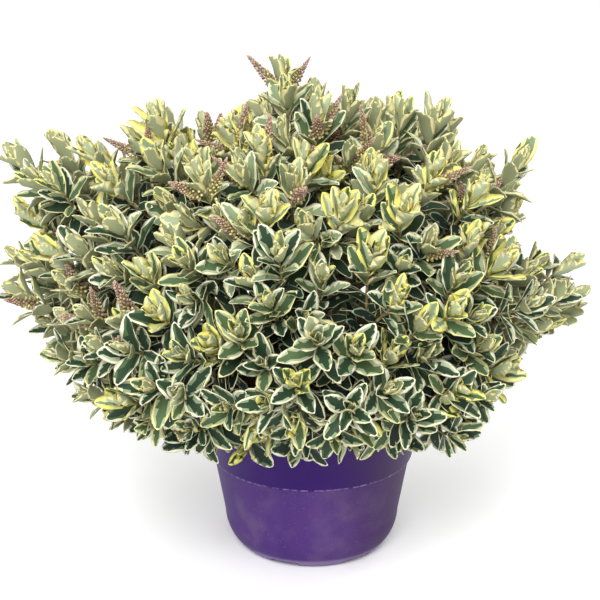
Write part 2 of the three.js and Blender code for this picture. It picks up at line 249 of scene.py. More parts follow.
corners = [
    (-FLOOR_REACH, -FLOOR_REACH, 0),
    (FLOOR_REACH, -FLOOR_REACH, 0),
    (FLOOR_REACH, FLOOR_REACH, 0),
    (-FLOOR_REACH, FLOOR_REACH, 0),
]
floor_mesh = bpy.data.meshes.new("floor")
floor_mesh.from_pydata(corners, [], [(0, 1, 2, 3)])
floor_mesh.materials.append(floor_finish())
floor = bpy.data.objects.new("floor", floor_mesh)
scene.collection.objects.link(floor)
print("floor:", floor.dimensions[:])

# %% [markdown]
# ## Pot
# The pot is moulded from thin purple plastic: a rounded heel, a wall that widens
# upwards, a stiffening collar and a rolled rim, with six notches under the foot that let
# water out. A turned shape like this could come from the Screw modifier, but the notches
# break its symmetry, so its outline is turned in mesh code and the foot is lifted where a
# notch is.

# %% Helpers for meshes


def mesh_object(name, vertices, faces, materials, smooth=True):
    """A piece at the origin from vertices in millimetres."""
    mesh = bpy.data.meshes.new(name)
    mesh.from_pydata([tuple(v * MM for v in vertex) for vertex in vertices], [], faces)
    for material in materials:
        mesh.materials.append(material)
    mesh.polygons.foreach_set("use_smooth", [smooth] * len(mesh.polygons))
    thing = bpy.data.objects.new(name, mesh)
    scene.collection.objects.link(thing)
    return thing


def triangles(thing):
    return sum(len(face.vertices) - 2 for face in thing.data.polygons)


def settle(thing, nodes=()):
    """Puts a finished piece on the plant's one body."""
    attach(thing, "root")
    if nodes:
        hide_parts(*nodes)
    print(f"{thing.name}: {triangles(thing)} triangles")


# %% Sizes of the pot in millimetres
POT_RIM = 145
POT_FLOOR = 5
FOOT_RADIUS = 58
HEEL_RADIUS = 73.6
HEEL_HEIGHT = 30
HEEL_DRAW = 1.5  # how strongly the heel is drawn in towards the foot
SEAM_HEIGHT = 79
COLLAR_HEIGHT = 115
NOTCHES = 6
NOTCH_TURN = 8  # degrees round to the first one
NOTCH_PITCH = 360 / NOTCHES
NOTCH_HALF_WIDTH = 11  # degrees
NOTCH_HEIGHT = 4.4
NOTCH_DEPTH = 13  # in from the edge of the foot
print("a notch every", NOTCH_PITCH, "degrees")

# %% Its outline: radius and height, up the outside and down the inside
HEEL_STEPS = 10

heel = []
for step in range(HEEL_STEPS + 1):
    turn = math.pi / 2 * step / HEEL_STEPS
    out = (HEEL_RADIUS - FOOT_RADIUS) * math.sin(turn) ** HEEL_DRAW
    heel.append((FOOT_RADIUS + out, HEEL_HEIGHT * (1 - math.cos(turn))))
wall = [
    (73.9, HEEL_HEIGHT + 1.5),
    (82.3, SEAM_HEIGHT - 0.5),
    (82.7, SEAM_HEIGHT),
    (84.3, SEAM_HEIGHT + 1.2),
    (84.9, SEAM_HEIGHT + 2.6),
    (90.6, COLLAR_HEIGHT - 0.4),
    (91.1, COLLAR_HEIGHT + 0.2),
    (92.5, COLLAR_HEIGHT + 1.2),
    (92.9, COLLAR_HEIGHT + 2.2),
    (93.6, 139.6),
    (94.1, 140.6),
    (94.9, 141.6),
    (95.0, 142.6),
    (94.9, 144.2),
    (94.3, POT_RIM),
]
inner = [
    (93.4, POT_RIM),
    (92.8, 143.8),
    (91.8, 139.6),
    (90.9, COLLAR_HEIGHT + 2),
    (88.8, COLLAR_HEIGHT - 1),
    (83.1, SEAM_HEIGHT + 3),
    (80.4, SEAM_HEIGHT - 1),
    (72.0, HEEL_HEIGHT + 1),
    (67.0, HEEL_HEIGHT / 2),
    (60.0, POT_FLOOR),
]
print("pot outline:", len(heel) + len(wall) + len(inner), "points")

# %% Turning the outline, with a notch wherever the foot is lifted
POT_SEGMENTS = 180


def pot_piece(materials):
    outline = [(FOOT_RADIUS - NOTCH_DEPTH, 0), *heel, *wall, *inner]
    vertices = [(0, 0, NOTCH_HEIGHT), (0, 0, POT_FLOOR)]
    for segment in range(POT_SEGMENTS):
        turn = 2 * math.pi * segment / POT_SEGMENTS
        past = math.degrees(turn) - NOTCH_TURN + NOTCH_PITCH / 2
        away = past % NOTCH_PITCH - NOTCH_PITCH / 2
        lift = NOTCH_HEIGHT if abs(away) < NOTCH_HALF_WIDTH else 0
        for radius, height in outline:
            level = max(height, lift) if radius > FOOT_RADIUS - NOTCH_DEPTH else NOTCH_HEIGHT
            vertices.append((radius * math.cos(turn), radius * math.sin(turn), level))
    faces = []
    count = len(outline)
    for segment in range(POT_SEGMENTS):
        here = 2 + segment * count
        there = 2 + (segment + 1) % POT_SEGMENTS * count
        faces.append((0, there, here))
        faces.append((1, here + count - 1, there + count - 1))
        for step in range(count - 1):
            faces.append((here + step, there + step, there + step + 1, here + step + 1))
    return mesh_object("nursery_pot", vertices, faces, materials)


print("the outline is turned in", POT_SEGMENTS, "steps")

# %% [markdown]
# The plastic is a deep, satin purple where it is clean, above the seam. Below it the wall
# is dusty, scuffed and flecked with pale specks. The lip at the seam and the edge of the heel
# take a painted highlight, and the right side takes a painted shade. Each of these is a mask
# from the height, the place across and some noise, laid over the last one in this order:
# dust, scuffs, the painted shade, and last the specks and painted highlights.

# %% Where the pot is dusty, scuffed and specked, with painted shade and painted highlights
POT_TONES = {
    "clean_dark": srgb(40, 10, 82),
    "clean_light": srgb(50, 16, 95),
    "dusty_dark": srgb(76, 44, 112),
    "dusty_light": srgb(100, 74, 126),
    "scuffed": srgb(106, 90, 110),
    # painted shade: a dark tone laid over the right side of the pot
    "painted_shade": srgb(52, 32, 50),
    # pale specks of dust below the seam, and the painted highlight on the seam's lip and the
    # heel's edge
    "specks_and_highlight": srgb(152, 134, 172),
}
SEAM = SEAM_HEIGHT * MM
BELOW_SEAM = (SEAM + 0.001, SEAM - 0.0002)  # metres up: where it starts and is full
# Painted highlight: a broken pale line along the lip at the seam, and a pale band along the edge
# of the heel.
LIP_FOOT = (SEAM + 0.001, SEAM + 0.0015)
LIP_HEAD = (SEAM + 0.0031, SEAM + 0.0023)
HEEL_HIGHLIGHT = (0.0105, 0.0065)
# where the painted shade on the right side of the pot starts and is full
PAINTED_SHADE_SIDE = (0, 0.08)  # metres to the right: where it starts and is full


def pot_masks(finish):
    across = finish.add("ShaderNodeSeparateXYZ", None, {0: finish.place}, 0)
    height = finish.add("ShaderNodeSeparateXYZ", None, {0: finish.place}, 2)
    streaks = finish.noise(38, 4, (1, 1, 0.22))
    speckle = finish.noise(900, 2)
    clouds = finish.noise(26, 3)
    broken = finish.between(finish.noise(210, 4), 0.4, 0.66)
    below = finish.between(height, *BELOW_SEAM)
    # where the painted highlight runs along the lip at the seam
    lip = finish.between(height, *LIP_FOOT) * finish.between(height, *LIP_HEAD)
    spots = finish.between(speckle, 0.66, 0.74) * below
    return {
        "clouds": clouds,
        "streaks": streaks,
        "dust": below * (0.2 + streaks * 0.35 + clouds * 0.15),
        "scuffs": finish.between(finish.noise(34, 6), 0.46, 0.74) * below * 0.32,
        # painted shade on the right side, mottled by the clouds
        "side_shade": finish.between(across, *PAINTED_SHADE_SIDE) * (0.3 + clouds * 0.55),
        # pale specks below the seam, plus painted highlights on the seam's lip and the heel's edge
        "specks_and_highlight": spots * 0.3 + finish.between(height, *HEEL_HIGHLIGHT) * 0.5 + lip * broken * 0.5,
        "relief": streaks * 0.5 + speckle * 0.2,
    }


print("pot tones:", list(POT_TONES))

# %% The pot


def pot_finish():
    finish = Finish("purple_pot")
    masks = pot_masks(finish)
    tones = POT_TONES
    clean = finish.blend(masks["clouds"], tones["clean_dark"], tones["clean_light"])
    dusty = finish.blend(masks["streaks"], tones["dusty_dark"], tones["dusty_light"])
    colour = finish.blend(masks["dust"], clean, dusty)
    for layer, tone in (("scuffs", "scuffed"), ("side_shade", "painted_shade"), ("specks_and_highlight", "specks_and_highlight")):
        colour = finish.blend(masks[layer], colour, tones[tone])
    return finish.shade(
        Base_Color=colour,
        Roughness=0.42 + masks["dust"] * 0.25,
        Normal=finish.bump(masks["relief"], 0.2, 0.0004),
        Specular_IOR_Level=0.12,
    )


pot = pot_piece([pot_finish()])
settle(pot, ["pot"])

# %% [markdown]
# ## Growth rule
# The frame's foliage follows a rule, and the same rule is written again here, so that the
# finer leaves sit where the solid ones are: whorls of boughs leave the stem, shoots are
# spread over the crown by the golden angle, and each shoot belongs to the nearest mass.
# Leaves scattered at random over a dome would be quicker, but they would hang in the air.
# Chance comes from a sum with a sine, not from a random module, because the frame's own
# source can do the same sum. Every trait has a number, so that no two traits go together.

# %% Repeatable chance
(TILT, WANDER, SHORTFALL, LIFT, TURN, ROLL, OPENING, SIZE, AGE, SPIKE_TURN, FORK) = range(1, 12)
(BRIGHT, VIGOUR, LIGHT, BREADTH, ARCH, SPIKE_SIZE, BUD_TURN, BUD_SIZE) = range(12, 20)
(RIPENESS, EXTRAS, STOUTNESS) = range(20, 23)
SPIKED = AGE  # a shoot's own draw, where AGE is a leaf's


def chance(thing, trait):
    """A repeatable number from 0 to 1 for one trait of one thing."""
    value = math.sin(thing * 12.9898 + trait * 78.233) * 43758.5453
    return value - math.floor(value)


def spread(thing, trait):
    """The same, from -1 to 1."""
    return 2 * chance(thing, trait) - 1


print("the first three draws:", [round(chance(thing, TILT), 3) for thing in range(3)])

# %% Directions and curves


def heading(azimuth, elevation):
    turn = math.radians(azimuth)
    rise = math.radians(elevation)
    return Vector(
        (math.cos(rise) * math.cos(turn), math.cos(rise) * math.sin(turn), math.sin(rise))
    )


def crosswise(direction):
    """A level direction square to the given one."""
    reference = Vector((1, 0, 0)) if abs(direction.z) > 0.9 else UP
    return reference.cross(direction).normalized()


def curve_point(controls, share):
    start, bend, end = controls
    return start.lerp(bend, share).lerp(bend.lerp(end, share), share)


def curve_points(controls, steps):
    return [curve_point(controls, step / steps) for step in range(steps + 1)]


print("towards the front is", heading(270, 0)[:])

# %% Sizes of the crown
CROWN_CENTRE = Vector((0, 0, 150))
CROWN_WIDE = 228
CROWN_TALL = 226
CROWN_SQUARENESS = 3
CROWN_DEPTH_RATIO = 0.96
CROWN_LEAN = 0.04  # how much further the left reaches than the mean
HEM_ANGLE = 14  # degrees above the centre where the crown starts to narrow
HEM_TAPER = 3.5  # millimetres of reach lost for each degree below that
HEM_LEVEL = 98  # of the lowest leaf tips
STRAY = 6  # how far single leaves stand out of the crown's shape
LOBE_WIDTH = 14  # degrees
MASS_GAIN = 10
LOBES = (  # azimuth, elevation, gain
    (180, 85, 38), (180, 61, 14), (180, 37, 50), (180, 17, 28),
    (0, 73, 20), (0, 47, 38), (0, 35, -44), (0, 21, 74), (318, -4, 20), (214, -4, 14),
)
SIGHT_ELEVATION = 19
HOLLOWS = (  # angle round the outline that is seen from the front, depth, width
    (-10, 84, 8), (9, 64, 8), (28, 50, 5), (37, 32, 4.5), (55, 50, 5), (67, 18, 4),
    (84, 24, 4), (111, 30, 9), (130, 42, 6), (153, 34, 6), (168, 18, 5), (207, 24, 5),
)
RINGS = (  # name, count, first azimuth, elevation, reach, level on the stem, lift
    ("skirt", 8, 270, 7, 112, 143, 18),
    ("middle", 6, 270, 25, 150, 164, 6),
    ("upper", 5, 250, 53, 152, 187, 0),
    ("top", 1, 180, 88, 160, 206, 0),
)
print("crown:", len(LOBES), "lobes,", len(HOLLOWS), "hollows,", len(RINGS), "rings of masses")

# %% How far the leaf tips reach from the crown's centre
sight = heading(270, SIGHT_ELEVATION)
sight_up = heading(90, 90 - SIGHT_ELEVATION)
swellings = [(heading(azimuth, elevation), gain) for azimuth, elevation, gain in LOBES]
for _, count, start, elevation, *_ in RINGS:
    for k in range(count):
        swellings.append((heading(start + 360 * k / count, elevation), MASS_GAIN))


def crown_reach(direction):
    elevation = math.degrees(math.asin(max(-1, min(1, direction.z))))
    flat = math.hypot(direction.x, direction.y)
    depth = (direction.y / max(flat, 1e-6)) ** 2
    wide = CROWN_WIDE * (1 - (1 - CROWN_DEPTH_RATIO) * depth)
    rise = max(direction.z, 0)
    total = (flat / wide) ** CROWN_SQUARENESS + (rise / CROWN_TALL) ** CROWN_SQUARENESS
    reach = total ** (-1 / CROWN_SQUARENESS) * (1 - CROWN_LEAN * direction.x)
    for towards, gain in swellings:
        away = math.degrees(math.acos(max(-1, min(1, towards.dot(direction))))) / LOBE_WIDTH
        reach += gain * math.exp(-away * away)
    around = math.degrees(math.atan2(direction.dot(sight_up), direction.x))
    sideways = 1 - direction.dot(sight) ** 2
    for angle, deep, width in HOLLOWS:
        away = ((around - angle + 540) % 360 - 180) / width  # from -180 to 180 degrees
        reach -= deep * math.exp(-away * away) * sideways ** 2
    return reach - HEM_TAPER * max(0, HEM_ANGLE - elevation)


print("crown reaches", round(crown_reach(UP)), "mm up from its centre")

# %% Masses, each with the bough that carries it
COMPOST_LEVEL = 130
GAP = 0.3  # between pieces that touch on the real plant
STEM_TOP = 212
STEM_LEAN = -4
STAGGER = 8  # every second bough of a whorl leaves the stem this much higher
WHORL_CLIMB = 1  # and each bough this much higher than the last
BOUGH_ENTRY = 0.62
BOUGH_BEND = 0.42

stem_controls = (
    Vector((0, 0, COMPOST_LEVEL + GAP)),
    Vector((0, 0, (COMPOST_LEVEL + STEM_TOP) / 2)),
    Vector((STEM_LEAN, 0, STEM_TOP)),
)


def lay_out_masses():
    masses = []
    for ring, count, start, elevation, reach, level, lift in RINGS:
        for k in range(count):
            direction = heading(start + 360 * k / count, elevation)
            centre = CROWN_CENTRE + direction * reach
            climb = level + WHORL_CLIMB * k + STAGGER * (k % 2) - COMPOST_LEVEL
            foot = curve_point(stem_controls, climb / (STEM_TOP - COMPOST_LEVEL))
            end = foot.lerp(centre, BOUGH_ENTRY) + UP * lift
            inward = (end - centre).normalized()
            bend = end + inward * (BOUGH_BEND * (end - foot).length)
            masses.append(
                {
                    "ring": ring,
                    "suffix": f"_{k + 1}" if count > 1 else "",
                    "direction": direction,
                    "centre": centre,
                    "end": end,
                    "bough": (foot, bend, end),
                }
            )
    return masses


masses = lay_out_masses()
print("masses:", len(masses))

# %% [markdown]
# Real shoots are more and finer than the frame's. Every one of its shoots is kept, and
# side shoots fill the room between them: they are spread by the same golden angle, skipped
# where a tip is already near, and each forks off the nearest main shoot.

# %% One shoot
GOLDEN_ANGLE = 180 * (3 - math.sqrt(5))
SHOOT_LOWEST = -14  # degrees
SHOOT_WANDER = 4  # degrees off its place round the crown
SHOOT_TILT = 3  # degrees off its height
SHOOT_LIFT = (0.2, 0.5)  # how much its tip turns up, at least and at most
SHOOT_BEND = 0.45
CURVE_STEPS = 10


def golden_direction(index, count, key, offset):
    lowest = math.sin(math.radians(SHOOT_LOWEST))
    rise = 1 - (index + 0.5) / count * (1 - lowest)
    elevation = math.degrees(math.asin(rise)) + SHOOT_TILT * spread(key, TILT)
    azimuth = index * GOLDEN_ANGLE + offset + SHOOT_WANDER * spread(key, WANDER)
    return heading(azimuth, elevation), elevation


def make_shoot(key, start, tip, elevation, mass):
    outward = (tip - CROWN_CENTRE).normalized()
    lift = SHOOT_LIFT[0] + (SHOOT_LIFT[1] - SHOOT_LIFT[0]) * chance(key, LIFT)
    facing = (outward + UP * lift).normalized()
    bend = tip - facing * (SHOOT_BEND * (tip - start).length)
    points = curve_points((start, bend, tip), CURVE_STEPS)
    length = sum((b - a).length for a, b in zip(points, points[1:]))
    return {
        "key": key,
        "points": points,
        "length": length,
        "facing": facing,
        "elevation": elevation,
        "mass": mass,
    }


print("golden angle:", round(GOLDEN_ANGLE, 2), "degrees")

# %% Main shoots, as in the frame
SHOOTS = 128
SHOOT_INSET = 20  # of every tip from the crown's surface
SHOOT_SHORTFALL = 26  # how much shorter still some shoots are
SHOOT_GATHER = 0.05  # how far tips draw together over their mass
FORK_FROM = 0.3  # the innermost fork, as a share of the way from bough to mass


def lay_out_shoots():
    shoots = []
    for i in range(SHOOTS):
        direction, elevation = golden_direction(i, SHOOTS, i, 0)
        inset = SHOOT_INSET + SHOOT_SHORTFALL * chance(i, SHORTFALL) ** 2
        tip = CROWN_CENTRE + direction * (crown_reach(direction) - inset)
        mass = min(masses, key=lambda each: (each["centre"] - tip).length)
        middle = CROWN_CENTRE + mass["direction"] * (tip - CROWN_CENTRE).length
        tip = tip.lerp(middle, SHOOT_GATHER)
        fork_share = FORK_FROM + (1 - FORK_FROM) * chance(i, FORK)
        fork = mass["end"].lerp(mass["centre"], fork_share)
        shoots.append(make_shoot(i, fork, tip, elevation, mass))
    return shoots


main_shoots = lay_out_shoots()
print("main shoots:", len(main_shoots))

# %% Side shoots, wherever a tip has room
SIDE_CANDIDATES = 900
SIDE_OFFSET = 71  # degrees between the two spreads
SIDE_SPACING = 24.8  # from each tip to the next
SIDE_INSET = 15
SIDE_SHORTFALL = 34
SIDE_FORK = 1.5  # how far back a side shoot forks, in its distance from the main tip
SIDE_FORK_MOST = 0.8  # and at most, as a share of the main shoot


def lay_out_side_shoots(shoots):
    tips = [shoot["points"][-1] for shoot in shoots]
    sides = []
    for i in range(SIDE_CANDIDATES):
        key = SHOOTS + i
        direction, elevation = golden_direction(i, SIDE_CANDIDATES, key, SIDE_OFFSET)
        inset = SIDE_INSET + SIDE_SHORTFALL * chance(key, SHORTFALL)
        tip = CROWN_CENTRE + direction * (crown_reach(direction) - inset)
        if min((tip - other).length for other in tips) < SIDE_SPACING:
            continue
        parent = min(shoots, key=lambda shoot: (shoot["points"][-1] - tip).length)
        away = (parent["points"][-1] - tip).length
        back = min(SIDE_FORK_MOST, SIDE_FORK * away / parent["length"])
        start = parent["points"][round((1 - back) * CURVE_STEPS)]
        side = make_shoot(key, start, tip, elevation, parent["mass"])
        sides.append(side)
        tips.append(tip)
    return sides


side_shoots = lay_out_side_shoots(main_shoots)
all_shoots = main_shoots + side_shoots
print("side shoots:", len(side_shoots))

# %% [markdown]
# ## Leaf finishes
# A hebe leaf is leathery and a little waxy. Its middle runs from blackish green on old
# leaves to sage on young ones, and its edge from ivory to clear yellow. An image or a
# painted mask for thousands of leaves would be heavy and would blur, so each colour is its
# own plain finish, dealt to faces by zone, and the noise only goes into wax and relief.

# %% One finish for each colour of leaf
LEAF_COLOURS = {
    "ink": (26, 40, 32),
    "deep": (42, 62, 44),
    "leaf": (78, 99, 65),
    "sage": (127, 143, 111),
    "grey_green": (163, 173, 141),
    "pale_green": (200, 204, 158),
    "ivory": (217, 215, 190),
    "cream": (223, 218, 178),
    "straw": (227, 220, 150),
    "yellow": (232, 225, 122),
    "under_green": (144, 150, 114),
    "under_cream": (214, 206, 150),
    "under_ivory": (208, 205, 170),
}


def leaf_finish(name, colour):
    finish = Finish(f"leaf_{name}")
    wax = finish.noise(420, 2)
    veins = finish.noise(1500, 1)
    return finish.shade(
        Base_Color=srgb(*colour),
        Roughness=0.45 + wax * 0.22,
        Normal=finish.bump(veins, 0.22, 0.0003),
        Specular_IOR_Level=0.18,
    )


zone_names = list(LEAF_COLOURS)
zone_finishes = [leaf_finish(name, colour) for name, colour in LEAF_COLOURS.items()]
print("leaf finishes:", zone_names)

# %% [markdown]
# ## Leaf shapes
# The blade is a pointed ellipse, widest just past its middle, folded along the midrib and
# wavy at the edge. Its green middle ends in a torn, feathery line that never repeats. One
# shared leaf would show that it is shared, and a leaf of its own for each of thousands would
# be heavy, so each age has eight leaves cut as templates, each with its own torn line. A
# leaf is a closed shell of under a hundred faces, with an underside in colours of its own.

# %% Ages of leaves
LEAF_SHAPES = 8  # of each age
AGES = {
    # Eight choices of middle, torn band and edge, from dark to light; both colours of the
    # underside; least and most width of the green; where the torn band starts, as a share
    # of the green; fold along the midrib and curl towards the tip.
    # Leaves deep in the shrub have no torn band, since nobody sees it there, and their edges
    # are duller than an old leaf's: painted shade for the inside of the shrub.
    "shaded": {
        "middle": ("ink", "ink", "deep", "ink", "ink", "deep", "deep", "deep"),
        "edge": ("sage", "under_ivory", "under_cream", "under_ivory") * 2,
        "under": ("under_green", "under_ivory"),
        "green": (0.78, 0.92),
        "fold": 0.28,
        "curl": 0.3,
    },
    "old": {
        "middle": ("ink", "ink", "ink", "deep", "ink", "deep", "deep", "leaf"),
        "torn": ("deep", "deep", "leaf", "leaf", "sage", "sage", "leaf", "sage"),
        "edge": ("ivory", "cream", "ivory", "ivory", "cream", "ivory", "ivory", "cream"),
        "under": ("under_green", "under_ivory"),
        "green": (0.76, 0.94),
        "torn_from": 0.66,
        "fold": 0.3,
        "curl": 0.3,
    },
    "grown": {
        "middle": ("ink", "deep", "deep", "deep", "leaf", "deep", "leaf", "sage"),
        "torn": (
            *("leaf", "sage", "leaf", "grey_green"),
            *("grey_green", "sage", "grey_green", "pale_green"),
        ),
        "edge": ("ivory", "cream", "ivory", "ivory", "straw", "ivory", "cream", "ivory"),
        "under": ("under_green", "under_cream"),
        "green": (0.6, 0.9),
        "torn_from": 0.6,
        "fold": 0.38,
        "curl": 0.12,
    },
    "young": {
        "middle": ("leaf", "leaf", "sage", "leaf", "sage", "grey_green", "sage", "grey_green"),
        "torn": ("sage", "grey_green", "grey_green", "pale_green") * 2,
        "edge": ("cream", "straw", "ivory", "yellow", "straw", "cream", "yellow", "straw"),
        "under": ("under_green", "under_cream"),
        "green": (0.42, 0.78),
        "torn_from": 0.58,
        "fold": 0.45,
        "curl": -0.22,
    },
    "golden": {
        "middle": ("deep", "leaf", "leaf", "sage", "leaf", "sage", "grey_green", "pale_green"),
        "torn": (
            *("leaf", "sage", "grey_green", "pale_green"),
            *("sage", "pale_green", "pale_green", "straw"),
        ),
        "edge": ("yellow", "yellow", "straw", "yellow", "yellow", "straw", "yellow", "yellow"),
        "under": ("grey_green", "under_cream"),
        "green": (0.16, 0.62),
        "torn_from": 0.46,
        "fold": 0.5,
        "curl": -0.3,
    },
}
print("ages:", list(AGES))

# %% The blade's outline, for a leaf one unit long
LEAF_WIDTH = 0.42
LEAF_WIDEST = 0.54  # along the blade
LEAF_POINTEDNESS = 0.66  # 0.5 would be an ellipse
LEAF_THICKNESS = 0.012
PETIOLE_HALF_WIDTH = 0.035


def half_width(share):
    """Half the blade's width at a share of its length: an ellipse with a short point."""
    foot = (share / LEAF_WIDEST) ** (LEAF_POINTEDNESS * LEAF_WIDEST / (1 - LEAF_WIDEST))
    head = ((1 - share) / (1 - LEAF_WIDEST)) ** LEAF_POINTEDNESS
    return max(PETIOLE_HALF_WIDTH, LEAF_WIDTH / 2 * (foot * head))


print("half widths:", [round(half_width(step / 5), 3) for step in range(6)])

# %% Rows across a leaf, with the green torn anew on each
LEAF_ROWS = (0, 0.12, 0.31, 0.51, 0.7, 0.86, 0.955)  # along the blade
SHADED_ROWS = (0, 0.2, 0.46, 0.72, 0.92)
GREEN_TAPER_FROM = 0.6  # along the blade, where the green starts to narrow
GREEN_TAPER = 0.3
TORN_RANGE = (0.6, 0.65)  # the narrowest, and how much the widest adds
FOLD_SPREAD = 0.4
CURL_SPREAD = 0.15
WAVE_HEIGHT = 0.16  # at the edge, as a share of the half width
WAVES = 9  # radians along the blade
WAVE_STARTS = 6.3  # radians: about a full turn, so that no two leaves wave together
CUT_FOLD, CUT_CURL, CUT_WAVE, CUT_TEAR = range(1, 5)  # traits of a template's cut
CUT_TORN = 8
CUT_BARB = 20


def green_lines(style, key, number, row, share):
    """Where the green and the torn band end across one row, from the left to the right."""
    low, high = style["green"]
    past = max(0, share - GREEN_TAPER_FROM) / (1 - GREEN_TAPER_FROM)
    taper = 1 - GREEN_TAPER * past
    sides = {}
    for side in (-1, 1):
        tear = ((row + number + (side > 0)) % 2 + chance(key + row, CUT_TEAR + side)) / 2
        green = (low + (high - low) * tear) * taper
        sides[side] = [green]
        if "torn" in style:
            luck = chance(key + row, CUT_TORN + side)
            torn = style["torn_from"] * (TORN_RANGE[0] + TORN_RANGE[1] * luck)
            sides[side].append(green * torn)
    return [-across for across in sides[-1]] + [0] + sides[1][::-1]


def leaf_rows(style, key, number):
    """All vertices of a leaf, its tip last, and the rows of its upper and lower side."""
    fold = style["fold"] * (1 + FOLD_SPREAD * spread(key, CUT_FOLD))
    curl = style["curl"] + CURL_SPREAD * spread(key, CUT_CURL)
    phase = WAVE_STARTS * chance(key, CUT_WAVE)
    vertices = []
    top = []
    under = []

    def vertex(across, share, sink=0.0):
        half = half_width(share)
        ripple = WAVE_HEIGHT * across * across * half * math.sin(phase + WAVES * share)
        rise = fold * abs(across) * half + ripple - curl * share * share / 2
        along = share * (1 - curl * curl * share * share / 6)
        vertices.append((across * half, along, rise - sink))
        return len(vertices) - 1

    for row, share in enumerate(LEAF_ROWS if "torn" in style else SHADED_ROWS):
        lines = green_lines(style, key, number, row, share)
        rims = [vertex(-1, share), vertex(1, share)]
        top.append([rims[0], *(vertex(across, share) for across in lines), rims[1]])
        sunk = [vertex(across, share, LEAF_THICKNESS) for across in (lines[0], 0, lines[-1])]
        under.append([rims[0], *sunk, rims[1]])
    vertex(0, 1, LEAF_THICKNESS / 2)
    return vertices, top, under


print("rows across a leaf:", len(LEAF_ROWS), "and", len(SHADED_ROWS), "deep in the shrub")

# %% Faces between the rows, each with the colour of its zone
TORN_BARBS = 0.6  # share of the torn band's cells that a darker barb runs into
EDGE_BARBS = 0.25  # and of the pale edge's cells
UNDER_BARBS = 0.6  # and of the edge's cells on the underside
CUT_KEYS = 900  # the first key of the templates


def barbed_cell(low_left, low_right, high_right, high_left, zones, column):
    """Halves a cell from its inner foot to its outer head, with a barb of the next colour in."""
    if column < len(zones) / 2:
        barb = (low_right, high_right, high_left)
        return [(barb, zones[column + 1]), ((low_left, low_right, high_left), zones[column])]
    barb = (low_left, high_right, high_left)
    return [(barb, zones[column - 1]), ((low_left, low_right, high_right), zones[column])]


def side_faces(rows, zones, barbs, tip, key):
    """Faces of one side of a leaf, each with its zone."""
    faces = []
    for row, (lower, upper) in enumerate(zip(rows, rows[1:])):
        for column, zone in enumerate(zones):
            after = column + 1
            cell = (lower[column], lower[after], upper[after], upper[column])
            if chance(key + row, CUT_BARB + column) < barbs[column]:
                faces += barbed_cell(*cell, zones, column)
            else:
                faces.append((cell, zone))
    last = rows[-1]
    faces += [((last[column], last[column + 1], tip), zones[0]) for column in range(len(zones))]
    return faces


def leaf_shape(age, number):
    style = AGES[age]
    key = CUT_KEYS + number * 7 + len(age) * 101
    if "torn" in style:
        parts = ("edge", "torn", "middle")
        top_barbs = (EDGE_BARBS, TORN_BARBS, 0, 0, TORN_BARBS, EDGE_BARBS)
        under_barbs = (UNDER_BARBS, 0, 0, UNDER_BARBS)
    else:
        parts = ("edge", "middle")
        top_barbs = under_barbs = (0, 0, 0, 0)
    top_zones = [zone_names.index(style[part][number]) for part in parts]
    top_zones += top_zones[::-1]
    middle, edge = (zone_names.index(name) for name in style["under"])

    vertices, top, under = leaf_rows(style, key, number)
    tip = len(vertices) - 1
    faces = side_faces(top, top_zones, top_barbs, tip, key)
    underside = side_faces(under, [edge, middle, middle, edge], under_barbs, tip, key)
    faces += [(face[::-1], zone) for face, zone in underside]
    faces.append(((*reversed(top[0]), *under[0][1:-1]), edge))

    mesh = bpy.data.meshes.new(f"{age}_leaf_{number}")
    mesh.from_pydata(vertices, [], [face for face, _ in faces])
    mesh.polygons.foreach_set("use_smooth", [True] * len(faces))
    zone_of_faces = mesh.attributes.new("zone", "INT", "FACE")
    zone_of_faces.data.foreach_set("value", [zone for _, zone in faces])
    return bpy.data.objects.new(mesh.name, mesh)


print("barbs run into", TORN_BARBS, "of the torn band and", EDGE_BARBS, "of the edge")

# %% Eight leaves of each age, kept out of the scene as templates


def template_collection(name, objects):
    collection = bpy.data.collections.new(name)
    for thing in objects:
        collection.objects.link(thing)
    return collection


leaf_templates = {
    age: template_collection(
        f"{age}_leaf_shapes", [leaf_shape(age, number) for number in range(LEAF_SHAPES)]
    )
    for age in AGES
}

# %% [markdown]
# ## Placing by Geometry Nodes
# Thousands of equal shapes are a job for Instance on Points: every point carries the turn,
# the size and the number of the shape that it takes. The tree realizes the instances,
# since an instance isn't a mesh yet, and hands each face the finish of its zone.

# %% What every tree starts and ends with


def geometry_tree(name, inputs):
    tree = bpy.data.node_groups.new(name, "GeometryNodeTree")
    tree.interface.new_socket("Geometry", in_out="INPUT", socket_type="NodeSocketGeometry")
    for label, kind in inputs.items():
        tree.interface.new_socket(label, in_out="INPUT", socket_type=f"NodeSocket{kind}")
    tree.interface.new_socket("Geometry", in_out="OUTPUT", socket_type="NodeSocketGeometry")
    nodes = Nodes(tree)
    entry = tree.nodes.new("NodeGroupInput")
    wires = {socket.name: Wire(nodes, socket) for socket in entry.outputs if socket.name}
    return tree, nodes, wires


def attribute(nodes, name, kind):
    return nodes.add("GeometryNodeInputNamedAttribute", {"data_type": kind}, {"Name": name})


def finish_tree(tree, nodes, wire, zones, materials):
    """Ends a tree: realized, and with a finish for each zone."""
    wire = nodes.add("GeometryNodeRealizeInstances", None, {0: wire})
    zone = attribute(nodes, "zone", "INT")
    for number, material in zip(zones, materials):
        chosen = nodes.add(
            "FunctionNodeCompare", {"data_type": "INT", "operation": "EQUAL"}, {2: zone, 3: number}
        )
        wire = nodes.add("GeometryNodeSetMaterial", None, {0: wire, 1: chosen, 2: material})
    exit_node = tree.nodes.new("NodeGroupOutput")
    tree.links.new(wire.socket, exit_node.inputs[0])


print("tree helpers ready")

# %% A tree that sets shapes on points


